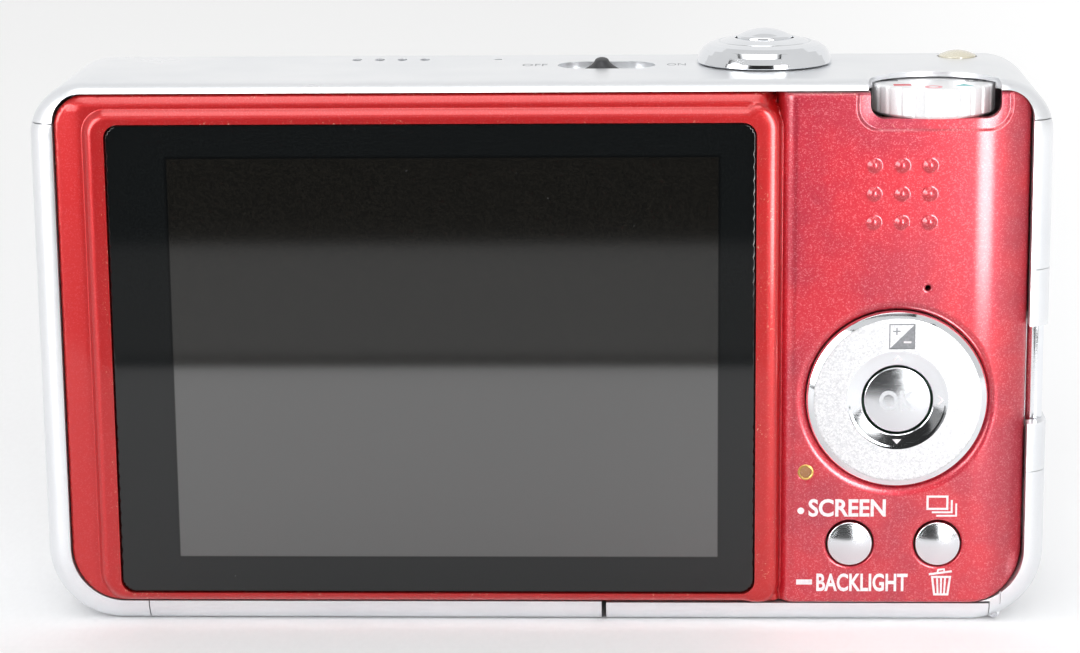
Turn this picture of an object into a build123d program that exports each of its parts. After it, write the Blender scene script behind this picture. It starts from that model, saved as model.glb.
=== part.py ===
from build123d import *
import math
import os

# A compact digital camera, in millimetres.
# X runs to the right as seen by the person holding it, Z is up, and Y runs from the display to the lens.
# The origin is at the centre of the footprint. Depths named d are counted from the rear face towards the lens.

os.makedirs("parts", exist_ok=True)

# --- body ---------------------------------------------------------------------------------------
body_width = 94.9
body_height = 51.9
body_depth = 22.0
rear_y = -11.9
half_width = body_width / 2
shell_rear = 0.5            # depth at which the silver shell starts
wall = 0.9                  # silver shell thickness
seam = 0.05                 # half of the gap between two covers
corner_top = 5.0
corner_bottom = 7.0
rear_edge_round = 2.2
front_edge_round = 2.6
top_seam_z = 48.25          # where the top cover meets the front shell
rim_depth = 2.2             # depth of the solid rim round the rear cover

# --- rear cover ---------------------------------------------------------------------------------
cover_left = -44.95
cover_right = 45.4
cover_bottom = 2.25
cover_top = 50.9
cover_gap = 0.1
cover_sheet = 1.0
cover_low = 0.4             # depth of the cover's face outside the display lip
pad_left = 23.0             # the control pad starts here, level with the rear face
pad_roll_start = 40.2       # from here the pad rolls off towards the side
pad_roll_radius = 8.0
lip_left = -42.5
lip_right = 21.9
lip_top = 49.8
lip_height = 0.35
window_x = (-40.09, 20.05)
window_z = (3.24, 48.23)
window_face = -0.1
window_thickness = 1.0
window_corner = 1.3

# --- controls on the rear -----------------------------------------------------------------------
cursor_x = 33.3
cursor_z = 22.1
cursor_radius = 8.45
well_radius = 8.9
centre_button_radius = 3.1
key_radius = 2.1
key_hole_radius = 2.4
display_key = (29.05, 8.1)
delete_key = (37.3, 8.1)
key_travel = 0.35
dome_depth = 2.1            # depth of the top of the contact domes
board_depth = 2.5
light_x = 24.85
light_z = 15.05
light_radius = 0.53
pinhole = (36.0, 32.7)
pinhole_radius = 0.25
grip_first = (30.9, 44.2)   # top left of the nine grip domes
grip_pitch = (2.55, 2.65)
grip_dome_radius = 0.48

# --- controls on the top ------------------------------------------------------------------------
dial_x = 36.5
dial_d = 5.4
dial_radius = 5.8
dial_bottom = 48.5
dial_top = 51.3
dial_edge = 0.25            # chamfer round the dial's top
dial_roof_gap = 0.15        # room between the dial and the cover's roof
dial_ridges = 26
notch_x = 36.4
notch_d = 0.75
notch_radius = 6.1
bay_step = (29.2, 43.6, 47.4)   # left, right and bottom of the shallow step round the dial
bay_step_depth = 0.35
bay_cut = (30.3, 42.6, 48.4)    # left, right and bottom of the cut for the dial
shutter_x = 21.2
shutter_d = 13.7
shutter_radius = 2.6
shutter_top = 55.2
zoom_radius = 6.45
zoom_top = 54.2
power_x = 6.15
power_d = 12.3
power_length = 9.3
power_width = 4.8
power_travel = 3.0
knob_x = 5.7
top_button_x = 39.9
top_button_d = 17.4
top_button_radius = 1.79
sound_slots = (-18.1, -15.9, -13.7, -11.5)
sound_d = 16.6
mic_x = -4.4
mic_d = 16.5

# --- doors --------------------------------------------------------------------------------------
base_left = -37.7
door_left = 5.6
door_right = 42.3
door_gap = 0.45
door_height = 2.2
door_pin_x = 42.95
door_pin_z = 0.62
door_barrel_radius = 0.6
door_pin_radius = 0.3
running_gap = 0.06          # between a pin and its bore
side_screw_d = 6.2
flap_z = (36.0, 46.0)
flap_d = (6.9, 16.0)
flap_pin_d = 16.65
flap_pin_x = half_width - 0.62

# --- lens ---------------------------------------------------------------------------------------
lens_x = -15.5
lens_z = 24.5
ring_radius = 18.2
ring_front = 24.4
base_radius = 18.0
base_bore = 17.2
plate_depth = 6.4           # rear plate of the lens unit
plate_sheet = 0.8
cam_radius = 16.0
cam_bore = 15.3
outer_radius = 15.15
outer_bore = 14.05
inner_radius = 13.85
inner_bore = 12.7
gear_module = 0.5
cam_teeth = 66
drive_teeth = 16
pinion_teeth = 10
gear_depth = (7.7, 9.5)
drive_angle = math.radians(135)
pinion_angle = math.radians(165)
aperture_radius = 5.2
blade_pivot = 9.6
focus_radius = 9.2          # distance of the focus screw from the lens axis


# --- helpers ------------------------------------------------------------------------------------
def block(x0, x1, d0, d1, z0, z1):
    """A box from corner to corner, with its depth counted from the rear face."""
    return Pos((x0 + x1) / 2, rear_y + (d0 + d1) / 2, (z0 + z1) / 2) * Box(x1 - x0, d1 - d0, z1 - z0)


def rod_x(d, z, radius, x0, x1):
    return Pos((x0 + x1) / 2, rear_y + d, z) * Rot(0, 90, 0) * Cylinder(radius, x1 - x0)


def rod_y(x, z, radius, d0, d1):
    return Pos(x, rear_y + (d0 + d1) / 2, z) * Rot(90, 0, 0) * Cylinder(radius, d1 - d0)


def rod_z(x, d, radius, z0, z1):
    return Pos(x, rear_y + d, (z0 + z1) / 2) * Cylinder(radius, z1 - z0)


def slab(x0, x1, z0, z1, d0, d1, round_top, round_bottom):
    """An upright plate with rounded corners, facing the rear."""
    outline = Rectangle(x1 - x0, z1 - z0)
    outline = fillet(outline.vertices().sort_by(Axis.Y)[2:], round_top)
    outline = fillet(outline.vertices().sort_by(Axis.Y)[:4].sort_by(Axis.Y)[:2], round_bottom)
    front = Plane(origin=((x0 + x1) / 2, rear_y + d1, (z0 + z1) / 2), x_dir=(1, 0, 0), z_dir=(0, -1, 0))
    return extrude(front * outline, d1 - d0)


def turned_y(x, z, outline):
    """A turned piece on an axis along Y, from (radius, depth) points."""
    points = [(radius, rear_y + depth) for radius, depth in outline]
    return Pos(x, 0, z) * revolve(Polygon(*points, align=None), Axis.Y)


def turned_z(x, d, outline):
    """A turned piece on an upright axis, from (radius, height) points."""
    return Pos(x, rear_y + d, 0) * revolve(Plane.XZ * Polygon(*outline, align=None), Axis.Z)


def slot_z(x, d, length, width, z0, z1):
    """An upright cutter with round ends, long in X."""
    return Pos(x, rear_y + d, z0) * extrude(SlotOverall(length, width), z1 - z0)


def polar(radius, angle):
    """A place round the lens axis, as an x and z offset."""
    return radius * math.cos(angle), radius * math.sin(angle)


def gear_y(x, z, teeth, d0, d1, first_tooth):
    """A small spur gear on an axis along Y, with plain tapered teeth and some backlash."""
    pitch_radius = gear_module * teeth / 2
    step = 2 * math.pi / teeth
    corners = ((-0.20, -1.0), (-0.10, 0.85), (0.10, 0.85), (0.20, -1.0))
    points = []
    for tooth in range(teeth):
        for share, height in corners:
            radius = pitch_radius + gear_module * height
            angle = first_tooth + (tooth + share) * step
            points.append(polar(radius, angle))
    front = Plane(origin=(x, rear_y + d1, z), x_dir=(1, 0, 0), z_dir=(0, -1, 0))
    return extrude(front * Polygon(*points, align=None), d1 - d0)


def save(shape, name):
    shape.label = name
    export_step(shape, f"parts/{name}.step")


def save_group(solids, name):
    save(Compound(children=list(solids)), name)


# --- covers -------------------------------------------------------------------------------------
def make_shell():
    """The whole silver shell before it is parted into covers."""
    outside = slab(-half_width, half_width, 0, body_height, shell_rear, body_depth, corner_top, corner_bottom)
    outside = fillet(outside.faces().sort_by(Axis.Y)[-1].edges(), front_edge_round)
    outside = fillet(outside.faces().sort_by(Axis.Y)[0].edges(), rear_edge_round)
    inside = slab(-half_width + wall, half_width - wall, wall, body_height - wall, rim_depth,
                  body_depth - wall, corner_top - wall, corner_bottom - wall)
    inside = fillet(inside.faces().sort_by(Axis.Y)[-1].edges(), front_edge_round - wall)
    opening = slab(cover_left - cover_gap, cover_right + cover_gap, cover_bottom - cover_gap,
                   cover_top + cover_gap, -1, rim_depth + 1, 2.6, 5.1)
    return outside - inside - opening


def make_top_cover(shell):
    cover = shell & block(-50, 50, -2, 30, top_seam_z + seam, 60)
    cover -= rod_z(notch_x, notch_d, notch_radius, 47, 60)
    cover -= rod_z(dial_x, dial_d, dial_radius + 0.3, 47, dial_top + dial_roof_gap)
    cover -= rod_z(shutter_x, shutter_d, 4.5, 50, 53)
    cover -= rod_z(top_button_x, top_button_d, top_button_radius + 0.12, 50, 53)
    for x in sound_slots:
        cover -= Pos(x, rear_y + sound_d, 50) * extrude(Ellipse(0.47, 0.8), 3)
    cover -= rod_z(mic_x, mic_d, 0.4, 50, 53)
    # the power slide runs in a shallow oval dish with a slot through its floor
    dish = slot_z(power_x, power_d, power_length, power_width, body_height - 0.55, 53)
    slot = block(knob_x - 1.2, knob_x + 1.2 + power_travel, power_d - 0.9, power_d + 0.9, 50, 53)
    return cover - dish - slot


def make_front_cover(shell):
    cover = shell & block(-50, 50, -2, 30, -1, top_seam_z - seam)
    cover -= block(base_left - seam, door_right + 0.1, -2, 30, -1, cover_bottom)
    cover -= block(door_pin_x - 0.7, door_pin_x + 0.7, 2.4, 19.9, -1, 2)
    cover -= rod_y(door_pin_x, door_pin_z, door_pin_radius, 1.6, 20.6)
    cover -= block(43, 50, -2, 12, 14.9, 34.3)
    cover -= rod_y(lens_x, lens_z, 17.3, 20, 23)
    cover -= slab(7.4, 17.6, 42.1, 47.3, 20, 23, 1.1, 1.1)
    cover -= rod_y(22.5, 44.8, 1.85, 20, 23)
    cover -= block(45, 50, flap_d[0], flap_pin_d + 0.65, flap_z[0], flap_z[1])
    cover -= rod_z(flap_pin_x, flap_pin_d, 0.25 + running_gap, flap_z[0] - 0.7, flap_z[1] + 0.7)
    # seam of the corner beside the battery door
    cover -= block(43.3, 43.42, 0, 2.6, 1.9, 3.4) & block(43, 44, -1, 1.0, 0, 5)
    for screw in screw_places():
        cover -= screw_cutter(screw)
    return cover


def make_bottom_cover(shell):
    cover = shell & block(base_left + seam, door_left, -2, 30, -1, cover_bottom - 2 * seam)
    cover -= rod_z(-8.0, 11.0, 4.6, -1, 3)
    return cover


def make_strap_plate(shell):
    """The side plate with the pocket that a strap loops through."""
    plate = shell & block(43, 50, -2, 11.9, 14.95, 34.25)
    pocket_wall = block(43.1, half_width - wall, 3.3, 8.6, 18.7, 29.8)
    plate += pocket_wall
    plate -= block(43.9, 50, 3.2, 7.8, 19.6, 28.9)
    plate -= block(45.5, 50, -1, 7.8, 19.6, 28.9)
    return plate - rod_z(46.35, 3.3, 0.8, 18.9, 29.6)


def make_rear_cover():
    # the cross-section from left to right, which rolls off towards the right side
    roll_end = math.asin((cover_right - pad_roll_start) / pad_roll_radius)
    inner_radius_roll = pad_roll_radius - cover_sheet
    inner_end = math.asin((cover_right - pad_roll_start) / inner_radius_roll)

    def on_roll(radius, angle):
        return pad_roll_start + radius * math.sin(angle), pad_roll_radius - radius * math.cos(angle)

    outer = Polyline((cover_left, 1.3), (cover_left + 0.5, 0.8), (lip_left, cover_low), (pad_left - 0.5, cover_low),
                     (pad_left + 0.1, 0), (pad_roll_start, 0))
    outer_roll = ThreePointArc((pad_roll_start, 0), on_roll(pad_roll_radius, roll_end / 2),
                               on_roll(pad_roll_radius, roll_end))
    edge = Line(on_roll(pad_roll_radius, roll_end), on_roll(inner_radius_roll, inner_end))
    inner_roll = ThreePointArc(on_roll(inner_radius_roll, inner_end), on_roll(inner_radius_roll, inner_end / 2),
                               (pad_roll_start, cover_sheet))
    back = Polyline((pad_roll_start, cover_sheet), (pad_left, 1.35), (cover_left + 0.6, 1.5), (cover_left, 2.1),
                    (cover_left, 1.3))
    section = make_face([outer, outer_roll, edge, inner_roll, back])
    cover = Pos(0, rear_y, cover_bottom) * extrude(section, cover_top - cover_bottom)
    cover &= slab(cover_left, cover_right, cover_bottom, cover_top, -1, 4, 2.5, 5.0)

    lip = slab(lip_left, lip_right, cover_bottom, lip_top, -lip_height, 1.2, 2.6, 3.4)
    lip = fillet(lip.faces().sort_by(Axis.Y)[0].edges(), 0.3)
    cover += lip & slab(cover_left, cover_right, cover_bottom, cover_top, -1, 4, 2.5, 5.0)

    cover -= slab(window_x[0] - 0.06, window_x[1] + 0.06, window_z[0] - 0.06, window_z[1] + 0.06, -1,
                  window_face + window_thickness + 0.05, window_corner, window_corner)
    cover -= slab(-37.0, 19.2, 4.6, 47.3, 0, 4, 0.8, 0.8)
    for row in range(3):
        for column in range(3):
            x = grip_first[0] + grip_pitch[0] * column
            z = grip_first[1] - grip_pitch[1] * row
            cover += Pos(x, rear_y + 0.12, z) * Sphere(grip_dome_radius)
    cover -= rod_y(cursor_x, cursor_z, well_radius, -1, 4)
    for x, z in (display_key, delete_key):
        cover -= rod_y(x, z, key_hole_radius, -1, 4)
    cover -= rod_y(light_x, light_z, light_radius + 0.04, -1, 4)
    cover -= rod_y(*pinhole, pinhole_radius, -1, 4)
    # the bay for the mode dial, with a shallow step round it
    cover -= slab(*bay_step, 55, -1, bay_step_depth, 1.0, 2.6)
    cover -= slab(*bay_cut, 55, -1, 4, 1.0, 1.4)
    return cover


# --- screws -------------------------------------------------------------------------------------
def screw_places():
    """The screws in the sides, as ((x, depth), z) where each head sits."""
    left = (-half_width, side_screw_d)
    right = (half_width, side_screw_d)
    return [(left, 10.0), (left, 40.0), (right, 10.5)]


def screw_cutter(screw):
    (x, d), z = screw
    inward = -math.copysign(1, x)
    hole = rod_x(d, z, 0.75, *sorted((x - inward, x + 2 * inward)))
    sink = rod_x(d, z, 1.25, *sorted((x - inward, x + 0.35 * inward)))
    return hole + sink


def make_screw(screw):
    (x, d), z = screw
    inward = -math.copysign(1, x)
    head = rod_x(d, z, 1.15, *sorted((x + 0.05 * inward, x + 0.35 * inward)))
    shank = rod_x(d, z, 0.6, *sorted((x + 0.35 * inward, x + 2.8 * inward)))
    slots = block(x - 0.3, x + 0.3, d - 0.7, d + 0.7, z - 0.12, z + 0.12)
    slots += block(x - 0.3, x + 0.3, d - 0.12, d + 0.12, z - 0.7, z + 0.7)
    return head + shank - slots


# --- doors --------------------------------------------------------------------------------------
def make_battery_door(shell):
    door = shell & block(door_left + door_gap, door_right, -2, 30, -1, door_height - 0.15)
    door += rod_y(door_pin_x, door_pin_z, door_barrel_radius, 2.5, 19.8)
    door += block(door_right - 0.6, door_pin_x, 2.5, 19.8, 0.25, wall)
    door -= rod_y(door_pin_x, door_pin_z, door_pin_radius + running_gap, 2, 20)
    door -= block(8.2, 16.2, 9.0, 12.5, -1, 2)
    return door


def make_door_latch():
    pad = block(8.35, 14.2, 9.1, 12.4, 0.12, 0.95)
    for ridge in range(5):
        pad -= block(9.2 + 0.9 * ridge, 9.55 + 0.9 * ridge, 9.5, 12.0, 0, 0.3)
    return pad + block(7.9, 14.7, 8.3, 13.2, 0.95, 1.4)


def make_terminal_door():
    flap = block(half_width - wall, half_width, flap_d[0] + 0.06, flap_d[1], flap_z[0] + 0.06, flap_z[1] - 0.06)
    flap += rod_z(flap_pin_x, flap_pin_d, 0.58, flap_z[0] + 0.06, flap_z[1] - 0.06)
    flap += block(half_width - wall + 0.1, half_width - 0.4, flap_d[1], flap_pin_d, flap_z[0] + 0.06, flap_z[1] - 0.06)
    # moulded stubs turn in the shell, and a thumbnail dip helps to open it
    flap += rod_z(flap_pin_x, flap_pin_d, 0.25, flap_z[0] - 0.6, flap_z[1] + 0.6)
    return flap - rod_z(half_width + 0.7, flap_d[0] + 1.0, 1.0, 38.5, 43.5)


# --- rear controls ------------------------------------------------------------------------------
def make_cursor_ring():
    ring = turned_y(cursor_x, cursor_z, [(3.35, 1.1), (3.35, -0.12), (4.5, -0.22), (4.6, -0.3), (7.75, -0.38),
                                         (cursor_radius, 0.05), (cursor_radius, 1.1)])
    for quarter in range(4):
        dx, dz = polar(6.6, quarter * math.pi / 2)
        ring += rod_y(cursor_x + dx, cursor_z + dz, 0.7, 1.0, 1.75)
    return ring


def make_gimbal():
    return turned_y(cursor_x, cursor_z, [(3.5, 1.3), (4.6, 1.3), (4.6, 1.6), (3.5, 1.6)])


def dome_key(x, z, radius, rise, stem_radius):
    """A round key with a crowned face, a flange behind the cover and a plunger."""
    crown_radius = (radius ** 2 + rise ** 2) / (2 * rise)
    face = -0.1
    key = rod_y(x, z, radius, face - rise, 0.9)
    key &= Pos(x, rear_y + face - rise + crown_radius, z) * Sphere(crown_radius)
    return key + rod_y(x, z, stem_radius, 0.8, dome_depth - key_travel - 0.05)


def make_key_board():
    board = slab(23.7, 42.6, 4.2, 33.0, board_depth, 3.1, 1.0, 4.0)
    places = [display_key, delete_key, (cursor_x, cursor_z)]
    for quarter in range(4):
        dx, dz = polar(6.6, quarter * math.pi / 2)
        places.append((cursor_x + dx, cursor_z + dz))
    for x, z in places:
        board += rod_y(x, z, 1.5, dome_depth, board_depth)
    return board - rod_y(light_x, light_z, light_radius + 0.1, 2, 4)


# --- top controls -------------------------------------------------------------------------------
def make_mode_dial():
    dial = turned_z(dial_x, dial_d, [(0, dial_bottom), (dial_radius - 0.3, dial_bottom),
                                     (dial_radius, dial_bottom + 0.3), (dial_radius, dial_top - dial_edge),
                                     (dial_radius - dial_edge, dial_top), (0, dial_top)])
    for ridge in range(dial_ridges):
        angle = 2 * math.pi * ridge / dial_ridges
        dx, dy = polar(dial_radius + 0.12, angle)
        dial -= rod_z(dial_x + dx, dial_d + dy, 0.28, dial_bottom - 1, dial_top + 1)
    return dial + rod_z(dial_x, dial_d, 1.2, 46.9, dial_bottom)


def make_dial_switch():
    switch = rod_z(dial_x, dial_d, 4.6, 46.4, 48.2) & block(30, 43, 2.6, 12, 46, 49)
    return switch - rod_z(dial_x, dial_d, 1.2 + running_gap, 46.8, 49)


def make_zoom_lever():
    lever = turned_z(shutter_x, shutter_d, [(2.8, 51.3), (4.3, 51.3), (4.3, 52.0), (6.3, 52.0), (zoom_radius, 52.3),
                                            (6.35, 53.1), (5.9, 53.8), (5.4, zoom_top), (4.9, 54.15), (4.2, 53.85),
                                            (2.8, 53.6)])
    tab = block(shutter_x - 1.6, shutter_x + 1.6, shutter_d + 5.0, shutter_d + 7.6, 52.2, 53.5)
    tab = fillet(tab.edges().filter_by(Axis.Z), 0.7)
    lever += tab
    sleeve = turned_z(shutter_x, shutter_d, [(3.4, 50.2), (4.3, 50.2), (4.3, 51.4), (3.4, 51.4)])
    return lever + sleeve


def make_shutter_button():
    rise = shutter_top - 54.2
    crown_radius = (shutter_radius ** 2 + rise ** 2) / (2 * rise)
    button = rod_z(shutter_x, shutter_d, shutter_radius, 52.6, shutter_top)
    button &= Pos(shutter_x, rear_y + shutter_d, shutter_top - crown_radius) * Sphere(crown_radius)
    return button + rod_z(shutter_x, shutter_d, 1.1, 50.4, 52.7)


def make_shutter_spring():
    path = Pos(shutter_x, rear_y + shutter_d, 49.65) * Helix(0.62, 2.7, 1.75)
    section = Plane(origin=path @ 0, z_dir=path % 0) * Circle(0.13)
    return sweep(section, path=path, is_frenet=True)


def make_power_switch():
    base = Pos(knob_x, rear_y + power_d, body_height - 0.5) * extrude(Ellipse(1.9, 2.2), 0.4)
    ridge = Pos(knob_x, rear_y + power_d, body_height - 0.15) * extrude(Ellipse(1.25, 1.95), 0.85)
    ridge = fillet(ridge.faces().sort_by(Axis.Z)[-1].edges(), 0.5)
    stem = block(knob_x - 1.0, knob_x + 1.0, power_d - 0.8, power_d + 0.8, 49.9, body_height - 0.4)
    foot = block(knob_x - 2.6, knob_x + 2.6, power_d - 1.8, power_d + 1.8, 49.9, 50.8)
    return base + ridge + stem + foot


def make_top_button():
    rise = 0.6
    crown_radius = (top_button_radius ** 2 + rise ** 2) / (2 * rise)
    top = body_height + rise
    button = rod_z(top_button_x, top_button_d, top_button_radius, 50.2, top)
    button &= Pos(top_button_x, rear_y + top_button_d, top - crown_radius) * Sphere(crown_radius)
    return button + rod_z(top_button_x, top_button_d, 2.3, 49.9, 50.7)


def make_top_board():
    board = block(1.0, 19.0, 8.6, 14.4, 48.4, 49.0) + block(18.5, 28.0, 8.6, 17.4, 48.4, 49.0)
    board += block(3.0, 11.0, 10.5, 14.1, 49.0, 49.7)
    return board + rod_z(shutter_x, shutter_d, 2.2, 49.0, 49.4)


# --- inside -------------------------------------------------------------------------------------
def make_chassis():
    plate = slab(-45.0, 42.8, 3.0, 47.6, 4.1, 4.5, 2.0, 5.0)
    plate -= block(-24.0, -7.0, 3, 6, 16.5, 32.5)
    plate -= block(29.0, 44.0, 3, 6, 45.8, 48)
    for z in (10.0, 40.0):
        plate += block(-46.4, -45.9, 4.1, 7.6, z - 3, z + 3)
        plate += block(-46.4, -44.5, 4.1, 4.5, z - 3, z + 3)
    plate += block(45.9, 46.4, 4.1, 7.6, 7.5, 13.5)
    plate += block(42.5, 46.4, 4.1, 4.5, 7.5, 13.5)
    for screw in screw_places():
        (x, d), z = screw
        plate -= rod_x(d, z, 0.6, *sorted((x * 0.9, x)))
    return plate


def make_main_board():
    board = block(4.6, 42.4, 4.9, 5.5, 5.0, 46.0)
    chips = ((9, 20, 24, 35), (23, 33, 26, 36), (10, 18, 10, 18), (24, 38, 9, 17))
    for x0, x1, z0, z1 in chips:
        board += block(x0, x1, 5.5, 6.4, z0, z1)
    return board


def make_battery_box():
    box = block(5.95, 42.55, 6.9, 19.6, 2.5, 40.4)
    box -= block(6.5, 41.9, 11.1, 18.2, 2, 39.5)
    box -= block(12.3, 36.7, 7.6, 10.0, 2, 35.4)
    # pocket for the battery catch
    return box - block(30.6, 34.4, 18.0, 19.8, 2, 9)


def make_battery():
    cell = block(6.6, 41.8, 11.2, 18.1, 2.8, 39.3)
    return fillet(cell.edges().filter_by(Axis.Z), 1.2)


def make_battery_catch():
    return block(30.8, 34.2, 17.2, 19.4, 1.55, 2.4) + block(31.2, 33.8, 18.4, 19.4, 2.4, 8.0)


def make_memory_card():
    card = block(12.5, 36.5, 7.75, 9.85, 3.2, 35.2)
    corner = Pos(12.5, rear_y + 8.8, 35.2) * Rot(0, 45, 0) * Box(5.6, 4, 5.6)
    return card - corner


def make_flash_reflector():
    trough = block(7.9, 17.1, 15.6, 20.8, 42.4, 47.2)
    face = Plane(origin=(12.5, rear_y + 20.9, 44.8), x_dir=(1, 0, 0), z_dir=(0, 1, 0))
    hollow = loft([face * Rectangle(8.6, 4.2), face.offset(-4.8) * Rectangle(8.2, 2.0)])
    return trough - hollow


def make_speaker():
    body = rod_z(-14.8, 13.9, 5.2, 47.2, 50.4)
    return body - rod_z(-14.8, 13.9, 3.6, 50.1, 51)


def make_terminal_socket():
    body = block(42.8, 46.3, 8.6, 14.4, 38.0, 44.0)
    return body - block(44.0, 47, 9.4, 13.6, 39.8, 42.2)


def make_tripod_socket():
    body = turned_z(-8.0, 11.0, [(3.25, 0), (4.6, 0), (4.6, 6.0), (0, 6.0), (0, 5.5), (3.25, 5.5)])
    return body


# --- lens ---------------------------------------------------------------------------------------
def tube(outer, bore, d0, d1):
    return turned_y(lens_x, lens_z, [(bore, d0), (outer, d0), (outer, d1), (bore, d1)])


def make_lens_ring():
    return turned_y(lens_x, lens_z, [(15.35, 21.0), (17.25, 21.0), (17.25, 22.05), (ring_radius, 22.05),
                                     (ring_radius, 22.5), (17.7, 23.5), (16.9, ring_front), (16.2, ring_front),
                                     (15.35, 23.6)])


def gear_places():
    """Axis places of the drive gear and the motor pinion, and the angle of a tooth on each."""
    to_drive = gear_module * (cam_teeth + drive_teeth) / 2
    to_pinion = gear_module * (drive_teeth + pinion_teeth) / 2
    dx, dz = polar(to_drive, drive_angle)
    drive = (lens_x + dx, lens_z + dz)
    px, pz = polar(to_pinion, pinion_angle)
    pinion = (drive[0] + px, drive[1] + pz)
    # a gap of the drive gear faces a tooth of the cam ring
    drive_tooth = drive_angle + math.pi + math.pi / drive_teeth
    # a gap of the pinion faces the drive gear's tooth nearest to the line between them
    drive_step = 2 * math.pi / drive_teeth
    offset = (drive_tooth - pinion_angle + drive_step / 2) % drive_step - drive_step / 2
    pinion_tooth = pinion_angle + math.pi - offset * drive_teeth / pinion_teeth + math.pi / pinion_teeth
    return drive, pinion, drive_tooth, pinion_tooth


def make_lens_base():
    base = tube(base_radius, base_bore, plate_depth, 20.6)
    plate = slab(-40.0, 3.4, 7.6, 45.2, plate_depth, plate_depth + plate_sheet, 3.0, 8.0)
    plate -= block(lens_x - 4.4, lens_x + 4.4, 6, 8, lens_z - 3.6, lens_z + 3.6)
    base += plate
    drive, pinion, _, _ = gear_places()
    base -= rod_y(*drive, gear_module * drive_teeth / 2 + 0.8, gear_depth[0] - 0.4, gear_depth[1] + 0.4)
    base += rod_y(*drive, 0.5, plate_depth, gear_depth[1])
    return base


def make_cam_ring():
    ring = gear_y(lens_x, lens_z, cam_teeth, *gear_depth, drive_angle)
    ring += tube(cam_radius, cam_bore, 7.4, 20.4)
    return ring - rod_y(lens_x, lens_z, cam_bore, 7, 21)


def make_drive_gear():
    drive, _, tooth, _ = gear_places()
    return gear_y(*drive, drive_teeth, *gear_depth, tooth) - rod_y(*drive, 0.5 + running_gap, 7, 10)


def make_motor_pinion():
    _, pinion, _, tooth = gear_places()
    return gear_y(*pinion, pinion_teeth, *gear_depth, tooth) + rod_y(*pinion, 0.5, gear_depth[1], 12.0)


def make_zoom_motor():
    _, pinion, _, _ = gear_places()
    return rod_y(*pinion, 3.4, 9.9, 19.2) - rod_y(*pinion, 0.5 + running_gap, 9, 12.2)


def make_outer_barrel():
    barrel = tube(outer_radius, outer_bore, 8.2, 22.6)
    return fillet(barrel.edges().filter_by(GeomType.CIRCLE).group_by(Axis.Y)[-1].sort_by(SortBy.RADIUS)[-1:], 0.35)


def make_inner_barrel():
    barrel = turned_y(lens_x, lens_z, [(inner_bore, 9.0), (inner_radius, 9.0), (inner_radius, 22.7), (13.5, 23.1),
                                       (10.5, 23.3), (9.6, 22.8), (aperture_radius, 22.4), (aperture_radius, 22.1),
                                       (inner_bore, 22.1)])
    cell = tube(inner_bore + 0.3, 6.6, 17.2, 18.2)
    for side in (-1, 1):
        barrel += rod_y(lens_x + side * blade_pivot, lens_z, 0.45, 18.0, 22.2)
    return barrel + cell


def make_lens(radius, back, front, curve_radius):
    """A glass element on the lens axis, flat behind and crowned in front."""
    half_angle = math.asin(radius / curve_radius)
    edge_drop = curve_radius * (1 - math.cos(half_angle))
    middle_drop = curve_radius * (1 - math.cos(half_angle / 2))
    tip = rear_y + front
    crown = ThreePointArc((radius, tip - edge_drop), (curve_radius * math.sin(half_angle / 2), tip - middle_drop),
                          (0, tip))
    sides = Polyline((0, tip), (0, rear_y + back), (radius, rear_y + back), (radius, tip - edge_drop))
    return Pos(lens_x, 0, lens_z) * revolve(make_face([crown, sides]), Axis.Y)


def make_blade(side):
    """One barrier blade: half a disc on an arm, which swings about a pin in the inner barrel."""
    pivot_x = lens_x - side * blade_pivot
    half = rod_y(lens_x, lens_z, 5.75, 21.5, 21.8)
    low, high = (0.03, 9) if side > 0 else (-9, -0.03)
    half &= block(lens_x - 9, lens_x + 9, 21, 22, lens_z + low, lens_z + high)
    arm = block(*sorted((pivot_x, lens_x - side * 4.6)), 21.5, 21.8, *sorted((lens_z + side * 0.03, lens_z + side * 1.2)))
    eye = rod_y(pivot_x, lens_z, 1.2, 21.5, 21.8)
    return half + arm + eye - rod_y(pivot_x, lens_z, 0.45 + running_gap, 21, 22)


def make_focus_carriage():
    carriage = turned_y(lens_x, lens_z, [(4.0, 8.4), (5.6, 8.4), (5.6, 12.0), (4.0, 12.0)])
    carriage += block(lens_x - 1.3, lens_x + 1.3, 10.6, 12.0, lens_z - focus_radius - 1.2, lens_z - 4.8)
    carriage -= rod_y(lens_x, lens_z - focus_radius, 0.7 + running_gap, 8, 13)
    for x, z in rod_places():
        ear = rod_y(x, z, 1.3, 10.6, 12.0)
        toward = math.atan2(z - lens_z, x - lens_x)
        arm = Pos(0, rear_y + 11.3, 0) * Rot(0, -math.degrees(toward), 0) * Box(4.4, 1.4, 1.8)
        dx, dz = polar(7.2, toward)
        carriage += ear + Pos(lens_x + dx, 0, lens_z + dz) * arm
        carriage -= rod_y(x, z, 0.6 + running_gap, 8, 13)
    return carriage


def rod_places():
    places = []
    for angle in (30, 150):
        dx, dz = polar(9.8, math.radians(angle))
        places.append((lens_x + dx, lens_z + dz))
    return places


def make_focus_screw():
    screw = rod_y(lens_x, lens_z - focus_radius, 0.7, 9.4, 15.8)
    for turn in range(9):
        groove = 10.9 + 0.5 * turn
        screw -= turned_y(lens_x, lens_z - focus_radius, [(0.55, groove), (0.8, groove - 0.12), (0.8, groove + 0.12)])
    return screw


def make_focus_motor():
    motor = rod_y(lens_x, lens_z - focus_radius, 2.3, 7.25, 10.3)
    return motor - rod_y(lens_x, lens_z - focus_radius, 0.7 + running_gap, 9.3, 11)


def make_image_sensor():
    board = block(lens_x - 11, lens_x + 11, 4.9, 5.5, lens_z - 8, lens_z + 8)
    board += block(lens_x - 4.2, lens_x + 4.2, 5.5, 6.8, lens_z - 3.4, lens_z + 3.4)
    return board


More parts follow.
